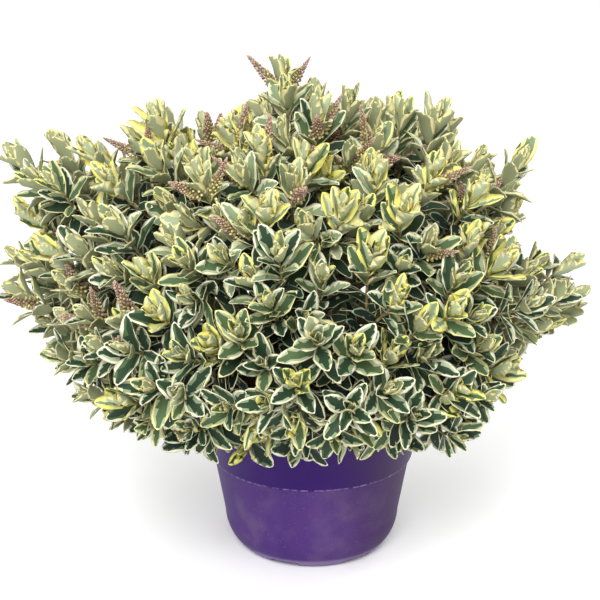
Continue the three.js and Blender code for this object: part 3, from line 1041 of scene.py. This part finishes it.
def placing_tree(name, zones, materials):
    inputs = {"Shapes": "Collection", "Growth": "Float"}
    tree, nodes, wires = geometry_tree(name, inputs)
    shapes = nodes.add(
        "GeometryNodeCollectionInfo", None, {0: wires["Shapes"], 1: True, 2: True}
    )
    turn = attribute(nodes, "turn", "FLOAT_VECTOR")
    rotation = nodes.add("FunctionNodeEulerToRotation", None, {0: turn})
    size = nodes.add(
        "ShaderNodeVectorMath",
        {"operation": "SCALE"},
        {0: attribute(nodes, "size", "FLOAT_VECTOR"), 3: wires["Growth"]},
    )
    pick = attribute(nodes, "pick", "INT")
    placed = nodes.add(
        "GeometryNodeInstanceOnPoints",
        None,
        {0: wires["Geometry"], 2: shapes, 3: True, 4: pick, 5: rotation, 6: size},
    )
    finish_tree(tree, nodes, placed, zones, materials)
    return tree


print("placing tree ready")

# %% Running a tree and keeping its mesh


def run_tree(name, carrier, tree, values):
    """The plain mesh that a tree makes from a carrier object."""
    modifier = carrier.modifiers.new("growth", "NODES")
    modifier.node_group = tree
    for item in tree.interface.items_tree:
        if item.in_out == "INPUT" and item.name in values:
            modifier[item.identifier] = values[item.name]
    evaluated = carrier.evaluated_get(bpy.context.evaluated_depsgraph_get())
    mesh = bpy.data.meshes.new_from_object(evaluated)
    mesh.name = name
    result = bpy.data.objects.new(name, mesh)
    scene.collection.objects.link(result)
    bpy.data.objects.remove(carrier)
    return result


def placed_shapes(name, spots, tree, collection):
    """spots: a list of (place in mm, rotation matrix, size in mm, number of the shape)."""
    mesh = bpy.data.meshes.new(f"{name}_points")
    mesh.from_pydata([place * MM for place, *_ in spots], [], [])
    turns = mesh.attributes.new("turn", "FLOAT_VECTOR", "POINT")
    turns.data.foreach_set("vector", [v for _, turn, *_ in spots for v in turn.to_euler()])
    sizes = mesh.attributes.new("size", "FLOAT_VECTOR", "POINT")
    sizes.data.foreach_set("vector", [v for _, _, size, _ in spots for v in size])
    picks = mesh.attributes.new("pick", "INT", "POINT")
    picks.data.foreach_set("value", [pick for *_, pick in spots])
    carrier = bpy.data.objects.new(mesh.name, mesh)
    scene.collection.objects.link(carrier)
    return run_tree(name, carrier, tree, {"Shapes": collection, "Growth": MM})


print("shapes can be placed")

# %% [markdown]
# ## Leaves
# Leaves stand in crossed pairs, each pair a quarter turn from the last. At the tip they
# are small, upright and closed over the bud, and further down they are larger, spread
# wide and bend back. High shoots keep their leaves closer. A leaf is made shorter or left
# out if its tip, or the point 60% along it, would leave the crown or reach into the pot.
# A leaf's foot and the twigs are not tried, so some low ones pass through the pot's wall.

# %% The pairs of leaves down a shoot
LEAF_PAIRS = (  # millimetres down from the tip, length, degrees from the stalk
    (0.3, 9, -5),
    (1, 16, 5),
    (3.5, 23, 22),
    (7.5, 27, 38),
    (13, 29, 51),
    (19.5, 29, 62),
    (26.5, 28, 70),
    (34, 27, 77),
    (42, 26, 83),
    (51, 26, 88),
    (61, 28, 92),
    (72, 29, 95),
    (84, 30, 97),
    (97, 30, 99),
    (111, 30, 100),
)
LEAFY_PART = 0.93  # of a shoot's length


def down_the_shoot(shoot, down):
    """The place and the direction of growth some way down a shoot from its tip."""
    points = shoot["points"]
    left = down
    for a, b in reversed(list(zip(points, points[1:]))):
        stalk = b - a
        span = stalk.length
        if left <= span:
            stalk.normalize()
            return b - stalk * left, stalk
        left -= span
    return points[0], (points[1] - points[0]).normalized()


print("pairs of leaves on the longest shoots:", len(LEAF_PAIRS))

# %% Room for a leaf: two of its points inside the crown, above its hem and clear of the pot
POT_CLEARANCE = 2
SHORTER = (1, 0.78, 0.6)  # lengths that are tried in turn
TRIED_AT = 0.6  # along the leaf, and at its tip


def pot_radius(level):
    outline = [*heel, *wall]
    for (low_radius, low), (high_radius, high) in zip(outline, outline[1:]):
        if level <= high:
            return low_radius + (high_radius - low_radius) * (level - low) / (high - low)
    return 0


def has_room(point):
    if point.z < HEM_LEVEL:
        return False
    if point.z < POT_RIM + POT_CLEARANCE:
        if math.hypot(point.x, point.y) < pot_radius(min(point.z, POT_RIM)) + POT_CLEARANCE:
            return False
    offset = point - CROWN_CENTRE
    distance = offset.length
    return distance <= crown_reach(offset / distance) + STRAY


def roomy_length(node, forward, full):
    """The longest that a leaf may be there, or None if it has no room."""
    for share in SHORTER:
        length = full * share
        if has_room(node + forward * length) and has_room(node + forward * length * TRIED_AT):
            return length
    return None


print("the pot is", round(pot_radius(POT_RIM), 1), "mm in radius at its rim")

# %% The age of a leaf: older further down the shoot, and sooner on low shoots
SHADED_FROM = 7  # pairs of leaves from the tip
BRIGHT_SHARE = 0.24  # of the shoots
YOUNG_PAIRS = 2
HIGH = 55  # degrees, where a shoot counts as fully high
YOUTH_OF_HIGH = 1.9  # pairs that stay young for longer there
YOUTH_OF_BRIGHT = 1.7
AGE_SPREAD = 0.9
GROWN_PAIRS = 3.2
GROWN_OF_HIGH = 1.6


def leaf_age(shoot, pair, key):
    if pair >= SHADED_FROM:
        return "shaded"
    height = min(1, max(0, shoot["elevation"] / HIGH))
    bright = chance(shoot["key"], BRIGHT) < BRIGHT_SHARE
    youth = YOUTH_OF_HIGH * height + YOUTH_OF_BRIGHT * bright
    years = pair - YOUNG_PAIRS - youth + AGE_SPREAD * spread(key, AGE)
    if years < 0:
        return "golden" if bright else "young"
    return "grown" if years < GROWN_PAIRS + GROWN_OF_HIGH * height else "old"


bright_shoots = sum(chance(shoot["key"], BRIGHT) < BRIGHT_SHARE for shoot in all_shoots)
print("bright shoots:", bright_shoots)

# %% One leaf: which way it points, its size and the template that it takes
BREADTH_SPREAD = 0.16
ARCH_RANGE = (0.7, 0.9)  # the flattest leaf, and how much the most arched adds
# Leaves of higher shoots take lighter templates: painted light from above, mixed with chance.
SUN_PART = 0.5  # of what picks a lighter template
LUCK_PART = 0.62
NODE_RADIUS = 0.3  # how far from the stalk's middle a leaf starts


def leaf_ways(stalk, level, roll, opening):
    """The way that a leaf points and the way that its upper side faces."""
    sideways = level.copy()
    sideways.rotate(Matrix.Rotation(math.radians(roll), 3, stalk))
    sideways = (sideways - stalk * sideways.dot(stalk)).normalized()
    opening = math.radians(opening)
    forward = stalk * math.cos(opening) + sideways * math.sin(opening)
    upper = stalk * math.sin(opening) - sideways * math.cos(opening)
    return forward, upper


def leaf_spot(node, forward, upper, length, sun, key):
    across = forward.cross(upper).normalized()
    frame_of_leaf = Matrix((across, forward, across.cross(forward))).transposed()
    broad = length * (1 + BREADTH_SPREAD * spread(key, BREADTH))
    arch = length * (ARCH_RANGE[0] + ARCH_RANGE[1] * chance(key, ARCH))
    # painted light: the higher the shoot, the lighter the template, with chance mixed in
    light = SUN_PART * sun + LUCK_PART * chance(key, LIGHT)
    template = min(LEAF_SHAPES - 1, int(max(0, light) * LEAF_SHAPES))
    return (node + forward * NODE_RADIUS, frame_of_leaf, (broad, length, arch), template)


print("a leaf half open on an upright stalk points", leaf_ways(UP, crosswise(UP), 0, 45)[0][:])

# %% Where every leaf goes
ROLL_SPREAD = 10  # degrees round the stalk
OPEN_SPREAD = 8  # degrees away from it
CLOSING = 0.3  # how much closer the leaves of upright shoots stand
SIZE_SPREAD = 0.14
VIGOUR_RANGE = (0.92, 0.16)  # the weakest shoot's leaves, and how much the strongest adds
VIGOUR_OF_UPRIGHT = 0.1
# shoots this high take the most painted light
SUNNY = 60  # degrees, where a shoot counts as fully in the sun
LEAF_KEYS = 28  # of each shoot


def leaf_spots(shoots):
    spots = {}
    for shoot in shoots:
        level = crosswise(shoot["facing"])
        upright = max(0, shoot["facing"].z)
        turn = 360 * chance(shoot["key"], TURN)
        sun = min(1, max(0, shoot["elevation"] / SUNNY))
        vigour = VIGOUR_RANGE[0] + VIGOUR_RANGE[1] * chance(shoot["key"], VIGOUR)
        growth = vigour * (1 + VIGOUR_OF_UPRIGHT * upright)
        for pair, (down, length, angle) in enumerate(LEAF_PAIRS):
            if down > LEAFY_PART * shoot["length"]:
                break
            node, stalk = down_the_shoot(shoot, down)
            for half in (0, 1):
                key = shoot["key"] * LEAF_KEYS + pair * 2 + half
                roll = turn + 90 * pair + 180 * half + ROLL_SPREAD * spread(key, ROLL)
                opening = angle * (1 - CLOSING * upright) + OPEN_SPREAD * spread(key, OPENING)
                forward, upper = leaf_ways(stalk, level, roll, opening)
                full = length * growth * (1 + SIZE_SPREAD * spread(key, SIZE))
                length_here = roomy_length(node, forward, full)
                if length_here:
                    place = (shoot["mass"]["ring"], leaf_age(shoot, pair, key))
                    spot = leaf_spot(node, forward, upper, length_here, sun, key)
                    spots.setdefault(place, []).append(spot)
    return spots


spots_by_piece = leaf_spots(all_shoots)
print("leaves:", sum(len(spots) for spots in spots_by_piece.values()))

# %% Leaf pieces: one for each ring of masses and each age


def ring_nodes(ring, kind):
    return [
        f"{mass['ring']}_{kind}{mass['suffix']}" for mass in masses if mass["ring"] == ring
    ]


def used_zones(collection):
    zones = set()
    for thing in collection.objects:
        zones.update(item.value for item in thing.data.attributes["zone"].data)
    return sorted(zones)


age_trees = {}
for age, collection in leaf_templates.items():
    zones = used_zones(collection)
    finishes = [zone_finishes[zone] for zone in zones]
    age_trees[age] = placing_tree(f"{age}_leaf_growth", zones, finishes)

for (ring, age), spots in sorted(spots_by_piece.items()):
    leaves = placed_shapes(f"{ring}_{age}_leaves", spots, age_trees[age], leaf_templates[age])
    settle(leaves, ring_nodes(ring, "foliage"))

# %% [markdown]
# ## Twigs
# Young shoots are green-brown with a swollen, purplish ring at each pair of leaves, and
# their older part is grey-brown wood. Every shoot is a chain of points with a radius, and
# one tree turns all of the chains into tapering tubes, which keeps them joined and light.

# %% Finishes of twigs
WOOD, GREEN_BARK, NODE_RING = range(3)


def stem_finish(name, light, dark, scale):
    finish = Finish(name)
    grain = finish.noise(scale, 3, (1, 1, 0.35))
    return finish.shade(
        Base_Color=finish.blend(grain, srgb(*dark), srgb(*light)),
        Roughness=0.6 + grain * 0.25,
        Normal=finish.bump(grain, 0.5, 0.0006),
    )


twig_finishes = [
    stem_finish("old_twig", (124, 106, 80), (72, 58, 42), 420),
    stem_finish("green_twig", (150, 146, 92), (112, 104, 62), 380),
    stem_finish("twig_ring", (138, 108, 84), (98, 72, 58), 500),
]
print("finishes:", [finish.name for finish in twig_finishes])

# %% Shoots as chains of points
TWIG_FOOT_RADIUS = 2.1
SIDE_FOOT_RADIUS = 1.5
TWIG_TIP_RADIUS = 0.75
GREEN_PART = 0.5  # of a shoot's length
RINGED_PAIRS = LEAF_PAIRS[4:9]  # the pairs above hide their rings
RING_POINTS = (-1.4, -0.5, 0.5, 1.4)  # extra points of the chain round a ring
RING_HALF_WIDTH = 0.6
NODE_SWELLING = 0.35
STALK_FOOT_RADIUS = 2.5
STALK_TAPER = 0.5


def twig_chain(shoot, foot_radius):
    """Points from fork to tip, each with its radius and zone, extra ones at leaf pairs."""
    chain = []
    total = shoot["length"]
    rings = [down for down, *_ in RINGED_PAIRS]
    downs = sorted(
        {total * step / CURVE_STEPS for step in range(CURVE_STEPS + 1)}
        | {ring + extra for ring in rings for extra in RING_POINTS},
        reverse=True,
    )
    for down in downs:
        if down > total:
            continue
        point, _ = down_the_shoot(shoot, down)
        radius = TWIG_TIP_RADIUS + (foot_radius - TWIG_TIP_RADIUS) * (down / total)
        zone = GREEN_BARK if down < GREEN_PART * total else WOOD
        if any(abs(down - ring) < RING_HALF_WIDTH for ring in rings):
            zone = NODE_RING
            radius += NODE_SWELLING
        chain.append((point, radius, zone))
    return chain


def stalk_chain(mass):
    """The last stretch of a bough, inside its mass."""
    return [
        (mass["end"].lerp(mass["centre"], share), STALK_FOOT_RADIUS - STALK_TAPER * share, WOOD)
        for share in (0, 0.5, 1)
    ]


def ring_chains(ring):
    mains = [shoot for shoot in main_shoots if shoot["mass"]["ring"] == ring]
    sides = [shoot for shoot in side_shoots if shoot["mass"]["ring"] == ring]
    return [
        *(twig_chain(shoot, TWIG_FOOT_RADIUS) for shoot in mains),
        *(twig_chain(shoot, SIDE_FOOT_RADIUS) for shoot in sides),
        *(stalk_chain(mass) for mass in masses if mass["ring"] == ring),
    ]


print("chains:", {ring: len(ring_chains(ring)) for ring, *_ in RINGS})

# %% A tree that turns chains into tubes
TWIG_SIDES = 5


def tube_tree():
    tree, nodes, wires = geometry_tree("twig_tubes", {"Sides": "Int", "Growth": "Float"})
    chain = nodes.add("GeometryNodeMeshToCurve", None, {0: wires["Geometry"]})
    round_section = nodes.add(
        "GeometryNodeCurvePrimitiveCircle", None, {"Resolution": wires["Sides"], "Radius": 1}
    )
    radius = attribute(nodes, "girth", "FLOAT") * wires["Growth"]
    tube = nodes.add(
        "GeometryNodeCurveToMesh", None, {0: chain, 1: round_section, 2: radius, 3: True}
    )
    finish_tree(tree, nodes, tube, range(len(twig_finishes)), twig_finishes)
    return tree


def tubes(name, chains, tree):
    vertices = []
    edges = []
    for chain in chains:
        first = len(vertices)
        vertices += [point * MM for point, *_ in chain]
        edges += [(first + step, first + step + 1) for step in range(len(chain) - 1)]
    mesh = bpy.data.meshes.new(f"{name}_chains")
    mesh.from_pydata(vertices, edges, [])
    girth = mesh.attributes.new("girth", "FLOAT", "POINT")
    girth.data.foreach_set("value", [radius for chain in chains for _, radius, _ in chain])
    zone = mesh.attributes.new("zone", "INT", "POINT")
    zone.data.foreach_set("value", [zone for chain in chains for *_, zone in chain])
    carrier = bpy.data.objects.new(mesh.name, mesh)
    scene.collection.objects.link(carrier)
    return run_tree(name, carrier, tree, {"Sides": TWIG_SIDES, "Growth": MM})


tube_growth = tube_tree()
for ring, *_ in RINGS:
    twigs = tubes(f"{ring}_twigs", ring_chains(ring), tube_growth)
    settle(twigs, ring_nodes(ring, "foliage"))

# %% [markdown]
# ## Flower buds
# Beside the tips of the higher shoots stand conical spikes of closed buds, mauve brown and
# packed in a spiral. A cone with a bump texture would look smooth in outline, so every bud
# is set on its own: the golden angle spaces them and the cone narrows them to the tip.

# %% Finishes of buds, in the order in which they ripen
BUD_COLOURS = {
    "green": (206, 196, 130),
    "husk": (172, 150, 112),
    "mauve": (138, 108, 98),
    "rose": (184, 154, 134),
}


def bud_finish(name, colour):
    finish = Finish(f"bud_{name}")
    fuzz = finish.noise(2600, 2)
    return finish.shade(
        Base_Color=srgb(*colour),
        Roughness=0.55 + fuzz * 0.25,
        Normal=finish.bump(fuzz, 0.3, 0.0002),
    )


bud_finishes = [bud_finish(name, colour) for name, colour in BUD_COLOURS.items()]
print("finishes:", [finish.name for finish in bud_finishes])

# %% A bud one unit long: a husk below and a closed petal tip above
BUD_SIDES = 5
BUD_FOOT = -0.05
BUD_PROFILE = ((0, 0.14), (0.4, 0.4), (0.78, 0.3))  # height and radius
BUD_ZONES = ((0, 0), (0, 1), (1, 2), (2, 3))  # finishes of the husk and the tip


def bud_shape(number):
    vertices = [(0, 0, BUD_FOOT)]
    for height, radius in BUD_PROFILE:
        for side in range(BUD_SIDES):
            turn = 2 * math.pi * (side + 0.5 * number) / BUD_SIDES
            vertices.append((radius * math.cos(turn), radius * math.sin(turn), height))
    vertices.append((0, 0, 1))
    husk, tip = BUD_ZONES[number]
    faces = []
    zones = []
    for side in range(BUD_SIDES):
        after = (side + 1) % BUD_SIDES
        faces.append((0, 1 + after, 1 + side))
        for step in range(len(BUD_PROFILE) - 1):
            low = 1 + step * BUD_SIDES
            high = low + BUD_SIDES
            faces.append((low + side, low + after, high + after, high + side))
        last = 1 + (len(BUD_PROFILE) - 1) * BUD_SIDES
        faces.append((last + side, last + after, len(vertices) - 1))
        zones += [husk, husk, tip, tip]
    mesh = bpy.data.meshes.new(f"bud_{number}")
    mesh.from_pydata(vertices, [], faces)
    mesh.polygons.foreach_set("use_smooth", [True] * len(faces))
    mesh.attributes.new("zone", "INT", "FACE").data.foreach_set("value", zones)
    return bpy.data.objects.new(mesh.name, mesh)


bud_shapes = [bud_shape(number) for number in range(len(BUD_ZONES))]
bud_templates = template_collection("bud_shapes", bud_shapes)
print("triangles of a bud:", triangles(bud_shapes[0]))

# %% Where the spikes stand
SPIKE_SHARE = 0.8  # of the shoots right at the top, and fewer the lower they stand
SIDE_SPIKE_SHARE = 0.1
SPIKE_LOWEST = 16  # degrees above the level
SPIKE_EXTRAS = 1.1  # how many more a shoot may carry
SPIKE_KEYS = 3  # of each shoot
SPIKE_DOWN = 12  # from the shoot's tip
SPIKE_STEP = 3  # down to the next spike
SPIKE_ANGLE = 36  # degrees from the shoot
SPIKE_ANGLE_STEP = 5


def spike_axis(shoot, number):
    node, stalk = down_the_shoot(shoot, SPIKE_DOWN + SPIKE_STEP * number)
    sideways = crosswise(stalk)
    turn = math.radians(360 * chance(shoot["key"], SPIKE_TURN) + GOLDEN_ANGLE * number)
    sideways.rotate(Matrix.Rotation(turn, 3, stalk))
    angle = math.radians(SPIKE_ANGLE + SPIKE_ANGLE_STEP * number)
    return node, stalk * math.cos(angle) + sideways * math.sin(angle)


def carries_spikes(shoot, share):
    if shoot["elevation"] < SPIKE_LOWEST:
        return False
    height = math.sin(math.radians(shoot["elevation"]))
    return chance(shoot["key"], SPIKED) <= share * height ** 2


def spikes_of(shoots, share):
    """A list of (key, where a spike starts, the way that it points)."""
    return [
        (shoot["key"] * SPIKE_KEYS + number, *spike_axis(shoot, number))
        for shoot in shoots
        if carries_spikes(shoot, share)
        for number in range(1 + round(SPIKE_EXTRAS * chance(shoot["key"], EXTRAS)))
    ]


spikes = spikes_of(main_shoots, SPIKE_SHARE) + spikes_of(side_shoots, SIDE_SPIKE_SHARE)
print("spikes:", len(spikes))

# %% Sizes of spikes and of their buds
SPIKE_LENGTH = 42
SPIKE_RADIUS = 5.4
LENGTH_RANGE = (0.82, 0.22)  # the shortest spike, and how much the longest adds
STOUT_RANGE = (0.84, 0.36)
NARROWING_RANGE = (0.75, 0.4)  # of the slimmest spike, and how much less of the stoutest
BARE_FOOT = 0.16  # of a spike's length
CROWDING = 0.85  # under 1, buds stand closer towards the tip
SPIKE_BUDS = 96
BUD_KEYS = 90  # of each spike: its last few buds draw what the next spike's first ones do
BUD_LENGTH = 3.4
BUD_SEAT = 0.55  # of the spike's radius
BUD_PROPORTIONS = (0.9, 0.9, 1.1)
BUD_SHRINK = 0.5  # from the foot to the tip
BUD_SPREAD = 0.15
RIPE_AT_FOOT = 0.2
RIPER_AT_TIP = 0.85
RIPE_SPREAD = 0.35
longest = BUD_LENGTH * BUD_PROPORTIONS[2] * sum(STOUT_RANGE) * (1 + BUD_SPREAD)
print("the longest bud:", round(longest, 1), "mm")

# %% Buds round the spikes
NEARLY_UP = UP + Vector((0.01, 0.02, 0))  # never quite along a bud


def bud_frame(growth):
    across = growth.cross(NEARLY_UP).normalized()
    return Matrix((across, growth.cross(across), growth)).transposed()


def bud_spots(spikes):
    spots = []
    for key, node, axis in spikes:
        length = SPIKE_LENGTH * (LENGTH_RANGE[0] + LENGTH_RANGE[1] * chance(key, SPIKE_SIZE))
        stout = STOUT_RANGE[0] + STOUT_RANGE[1] * chance(key, STOUTNESS)
        narrowing = NARROWING_RANGE[0] - NARROWING_RANGE[1] * chance(key, STOUTNESS)
        side = crosswise(axis)
        other = axis.cross(side)
        for bud in range(SPIKE_BUDS):
            bud_key = key * BUD_KEYS + bud
            share = (bud + 0.5) / SPIKE_BUDS
            along = length * (BARE_FOOT + (1 - BARE_FOOT) * share ** CROWDING)
            turn = math.radians(GOLDEN_ANGLE * bud + 360 * chance(key, BUD_TURN))
            outward = side * math.cos(turn) + other * math.sin(turn)
            radius = SPIKE_RADIUS * stout * (1 - share) ** narrowing * BUD_SEAT
            # Buds lean outwards at the foot and stand up at the tip.
            growth = (outward * (1.2 - share) + axis * (0.5 + share)).normalized()
            size = BUD_LENGTH * stout * (1 - BUD_SHRINK * share)
            size *= 1 + BUD_SPREAD * spread(bud_key, BUD_SIZE)
            ripeness = RIPER_AT_TIP * share + RIPE_AT_FOOT
            ripeness += RIPE_SPREAD * spread(bud_key, RIPENESS)
            spot = (
                node + axis * along + outward * radius,
                bud_frame(growth),
                [part * size for part in BUD_PROPORTIONS],
                int(len(BUD_ZONES) * min(0.99, max(0, ripeness))),
            )
            spots.append(spot)
    return spots


bud_tree = placing_tree("bud_growth", range(len(bud_finishes)), bud_finishes)
buds = placed_shapes("flower_buds", bud_spots(spikes), bud_tree, bud_templates)
settle(buds)

# %% Stalks of the spikes
SPIKE_STALK = ((0, 0.8), (BARE_FOOT, 2.2), (0.8, 0.5))  # share of the length, and radius
spike_chains = [
    [(node + axis * (SPIKE_LENGTH * share), radius, GREEN_BARK) for share, radius in SPIKE_STALK]
    for _, node, axis in spikes
]
spike_stalks = tubes("spike_stalks", spike_chains, tube_growth)
settle(spike_stalks)

# %% [markdown]
# ## Stem and boughs
# Old hebe wood is grey brown and splits into long shallow plates. Displacement in the
# material alone would leave a smooth outline, so the bark's ridges are pushed into the
# mesh by noise that is stretched along the limb, and finer noise in the finish does the rest.

# %% Finish of old bark


def bark_finish():
    finish = Finish("old_bark")
    plates = finish.noise(260, 4, (1, 1, 0.3))
    fine = finish.noise(1400, 3)
    tone = finish.blend(plates, srgb(62, 50, 38), srgb(128, 114, 92))
    colour = finish.blend(fine * 0.4, tone, srgb(96, 92, 74))
    return finish.shade(
        Base_Color=colour,
        Roughness=0.75 + fine * 0.2,
        Normal=finish.bump(plates + fine * 0.4, 0.7, 0.0008),
    )


old_bark = bark_finish()
print("finish:", old_bark.name)

# %% One barked limb
BARK_SIDES = 18
BARK_DEPTH = 0.34
RIDGES_ROUND = 3.2
RIDGES_ALONG = 2.2
FINER_RIDGES = 2.7  # times as close as the others, and half as deep


def barked_limb(controls, radius_at, steps, key):
    """Vertices and faces of a closed tube along a curve with ridged bark."""
    start_way = (controls[1] - controls[0]).normalized()
    end_way = (controls[2] - controls[1]).normalized()
    square = start_way.cross(end_way)
    right = square.normalized() if square.length > 1e-4 else crosswise(start_way)
    vertices = [controls[0]]
    for step in range(steps + 1):
        share = step / steps
        centre = curve_point(controls, share)
        forward = start_way.lerp(end_way, share).normalized()
        under = right.cross(forward)
        for side in range(BARK_SIDES):
            turn = 2 * math.pi * side / BARK_SIDES
            way = right * math.cos(turn) + under * math.sin(turn)
            grain = way * RIDGES_ROUND + Vector((key, 0, share * RIDGES_ALONG))
            ridge = noise.noise(grain) + 0.5 * noise.noise(grain * FINER_RIDGES)
            vertices.append(centre + way * (radius_at(share) + BARK_DEPTH * ridge))
    vertices.append(controls[2])
    faces = []
    last = len(vertices) - 1
    for side in range(BARK_SIDES):
        after = (side + 1) % BARK_SIDES
        faces.append((0, 1 + side, 1 + after))
        for step in range(steps):
            low = 1 + step * BARK_SIDES
            high = low + BARK_SIDES
            faces.append((low + side, high + side, high + after, low + after))
        top = 1 + steps * BARK_SIDES
        faces.append((last, top + after, top + side))
    return vertices, faces


print("sides of a limb:", BARK_SIDES)

# %% The stem and the boughs
STEM_STEPS = 44
STEM_FOOT_RADIUS = 6.8
STEM_TOP_RADIUS = 4.4
ROOT_FLARE = 3.2
FLARE_HEIGHT = 9
BOUGH_STEPS = 30
BOUGH_FOOT_RADIUS = 3.4
BOUGH_END_RADIUS = 2.4


def stem_radius(share):
    flare = ROOT_FLARE * math.exp(-share * (STEM_TOP - COMPOST_LEVEL) / FLARE_HEIGHT)
    return STEM_FOOT_RADIUS + (STEM_TOP_RADIUS - STEM_FOOT_RADIUS) * share + flare


def bough_radius(share):
    return BOUGH_FOOT_RADIUS + (BOUGH_END_RADIUS - BOUGH_FOOT_RADIUS) * share


stem_piece = mesh_object(
    "barked_stem", *barked_limb(stem_controls, stem_radius, STEM_STEPS, 0), [old_bark]
)
settle(stem_piece, ["stem"])
for number, mass in enumerate(masses):
    shape = barked_limb(mass["bough"], bough_radius, BOUGH_STEPS, 5 + 3 * number)
    name = f"{mass['ring']}_bough{mass['suffix']}"
    limb = mesh_object(f"barked_{name}", *shape, [old_bark])
    settle(limb, [name])

# %% [markdown]
# ## Compost
# The compost is dark, fibrous and crumbly, and has drawn back a little from the pot. The
# frame's own solid keeps its shape and takes a better finish, and Geometry Nodes scatter
# crumbs over its top.

# %% A better finish on the frame's own compost


def compost_finish():
    finish = Finish("damp_compost")
    lumps = finish.noise(180, 5)
    fibres = finish.noise(900, 3, (1, 0.3, 1))
    tone = finish.blend(lumps, srgb(30, 22, 16), srgb(74, 56, 40))
    colour = finish.blend(fibres * 0.35, tone, srgb(96, 78, 56))
    return finish.shade(
        Base_Color=colour,
        Roughness=0.8 + lumps * 0.18,
        Normal=finish.bump(lumps + fibres * 0.5, 0.9, 0.003),
    )


damp_compost = compost_finish()
compost = frame["nodes"]["compost"]
for material_slot in compost.material_slots:
    material_slot.material = damp_compost
print("finish:", damp_compost.name)

# %% A tree that scatters crumbs
CRUMB_DENSITY = 90000  # to the square metre, before the spacing thins them
CRUMB_TURNS = ((0, 0, 0), (6, 6, 6))  # radians


def crumb_tree():
    inputs = {"Spacing": "Float", "Smallest": "Float", "Largest": "Float", "Seed": "Int"}
    tree, nodes, wires = geometry_tree("crumb_scatter", inputs)
    points = nodes.add(
        "GeometryNodeDistributePointsOnFaces",
        {"distribute_method": "POISSON"},
        {
            "Mesh": wires["Geometry"],
            "Distance Min": wires["Spacing"],
            "Density Max": CRUMB_DENSITY,
            "Seed": wires["Seed"],
        },
    )
    crumb = nodes.add("GeometryNodeMeshIcoSphere", None, {"Radius": 1, "Subdivisions": 1})
    size = nodes.add(
        "FunctionNodeRandomValue",
        {"data_type": "FLOAT"},
        {2: wires["Smallest"], 3: wires["Largest"], 8: wires["Seed"]},
        1,
    )
    turn = nodes.add(
        "FunctionNodeRandomValue",
        {"data_type": "FLOAT_VECTOR"},
        {0: CRUMB_TURNS[0], 1: CRUMB_TURNS[1]},
    )
    rotation = nodes.add("FunctionNodeEulerToRotation", None, {0: turn})
    placed = nodes.add(
        "GeometryNodeInstanceOnPoints", None, {0: points, 2: crumb, 5: rotation, 6: size}
    )
    wire = nodes.add("GeometryNodeRealizeInstances", None, {0: placed})
    wire = nodes.add("GeometryNodeSetMaterial", None, {0: wire, 2: damp_compost})
    tree.links.new(wire.socket, tree.nodes.new("NodeGroupOutput").inputs[0])
    return tree


print("crumb tree ready")

# %% Crumbs over the compost
CRUMB_DISC_RADIUS = 0.084
CRUMB_DISC_SIDES = 48
CRUMB_VALUES = {"Spacing": 0.0042, "Smallest": 0.0009, "Largest": 0.0024, "Seed": 7}


def crumbs():
    mesh = bpy.data.meshes.new("compost_top")
    shape = bmesh.new()
    bmesh.ops.create_circle(
        shape, cap_ends=True, radius=CRUMB_DISC_RADIUS, segments=CRUMB_DISC_SIDES
    )
    bmesh.ops.translate(shape, vec=(0, 0, COMPOST_LEVEL * MM), verts=shape.verts)
    shape.to_mesh(mesh)
    shape.free()
    carrier = bpy.data.objects.new("compost_top", mesh)
    scene.collection.objects.link(carrier)
    return run_tree("compost_crumbs", carrier, crumb_tree(), CRUMB_VALUES)


crumb_piece = crumbs()
settle(crumb_piece)

# %% [markdown]
# ## Last look
# The templates have done their work and go.

# %% The templates go
for collection in [*leaf_templates.values(), bud_templates]:
    for thing in list(collection.objects):
        bpy.data.objects.remove(thing)
    bpy.data.collections.remove(collection)
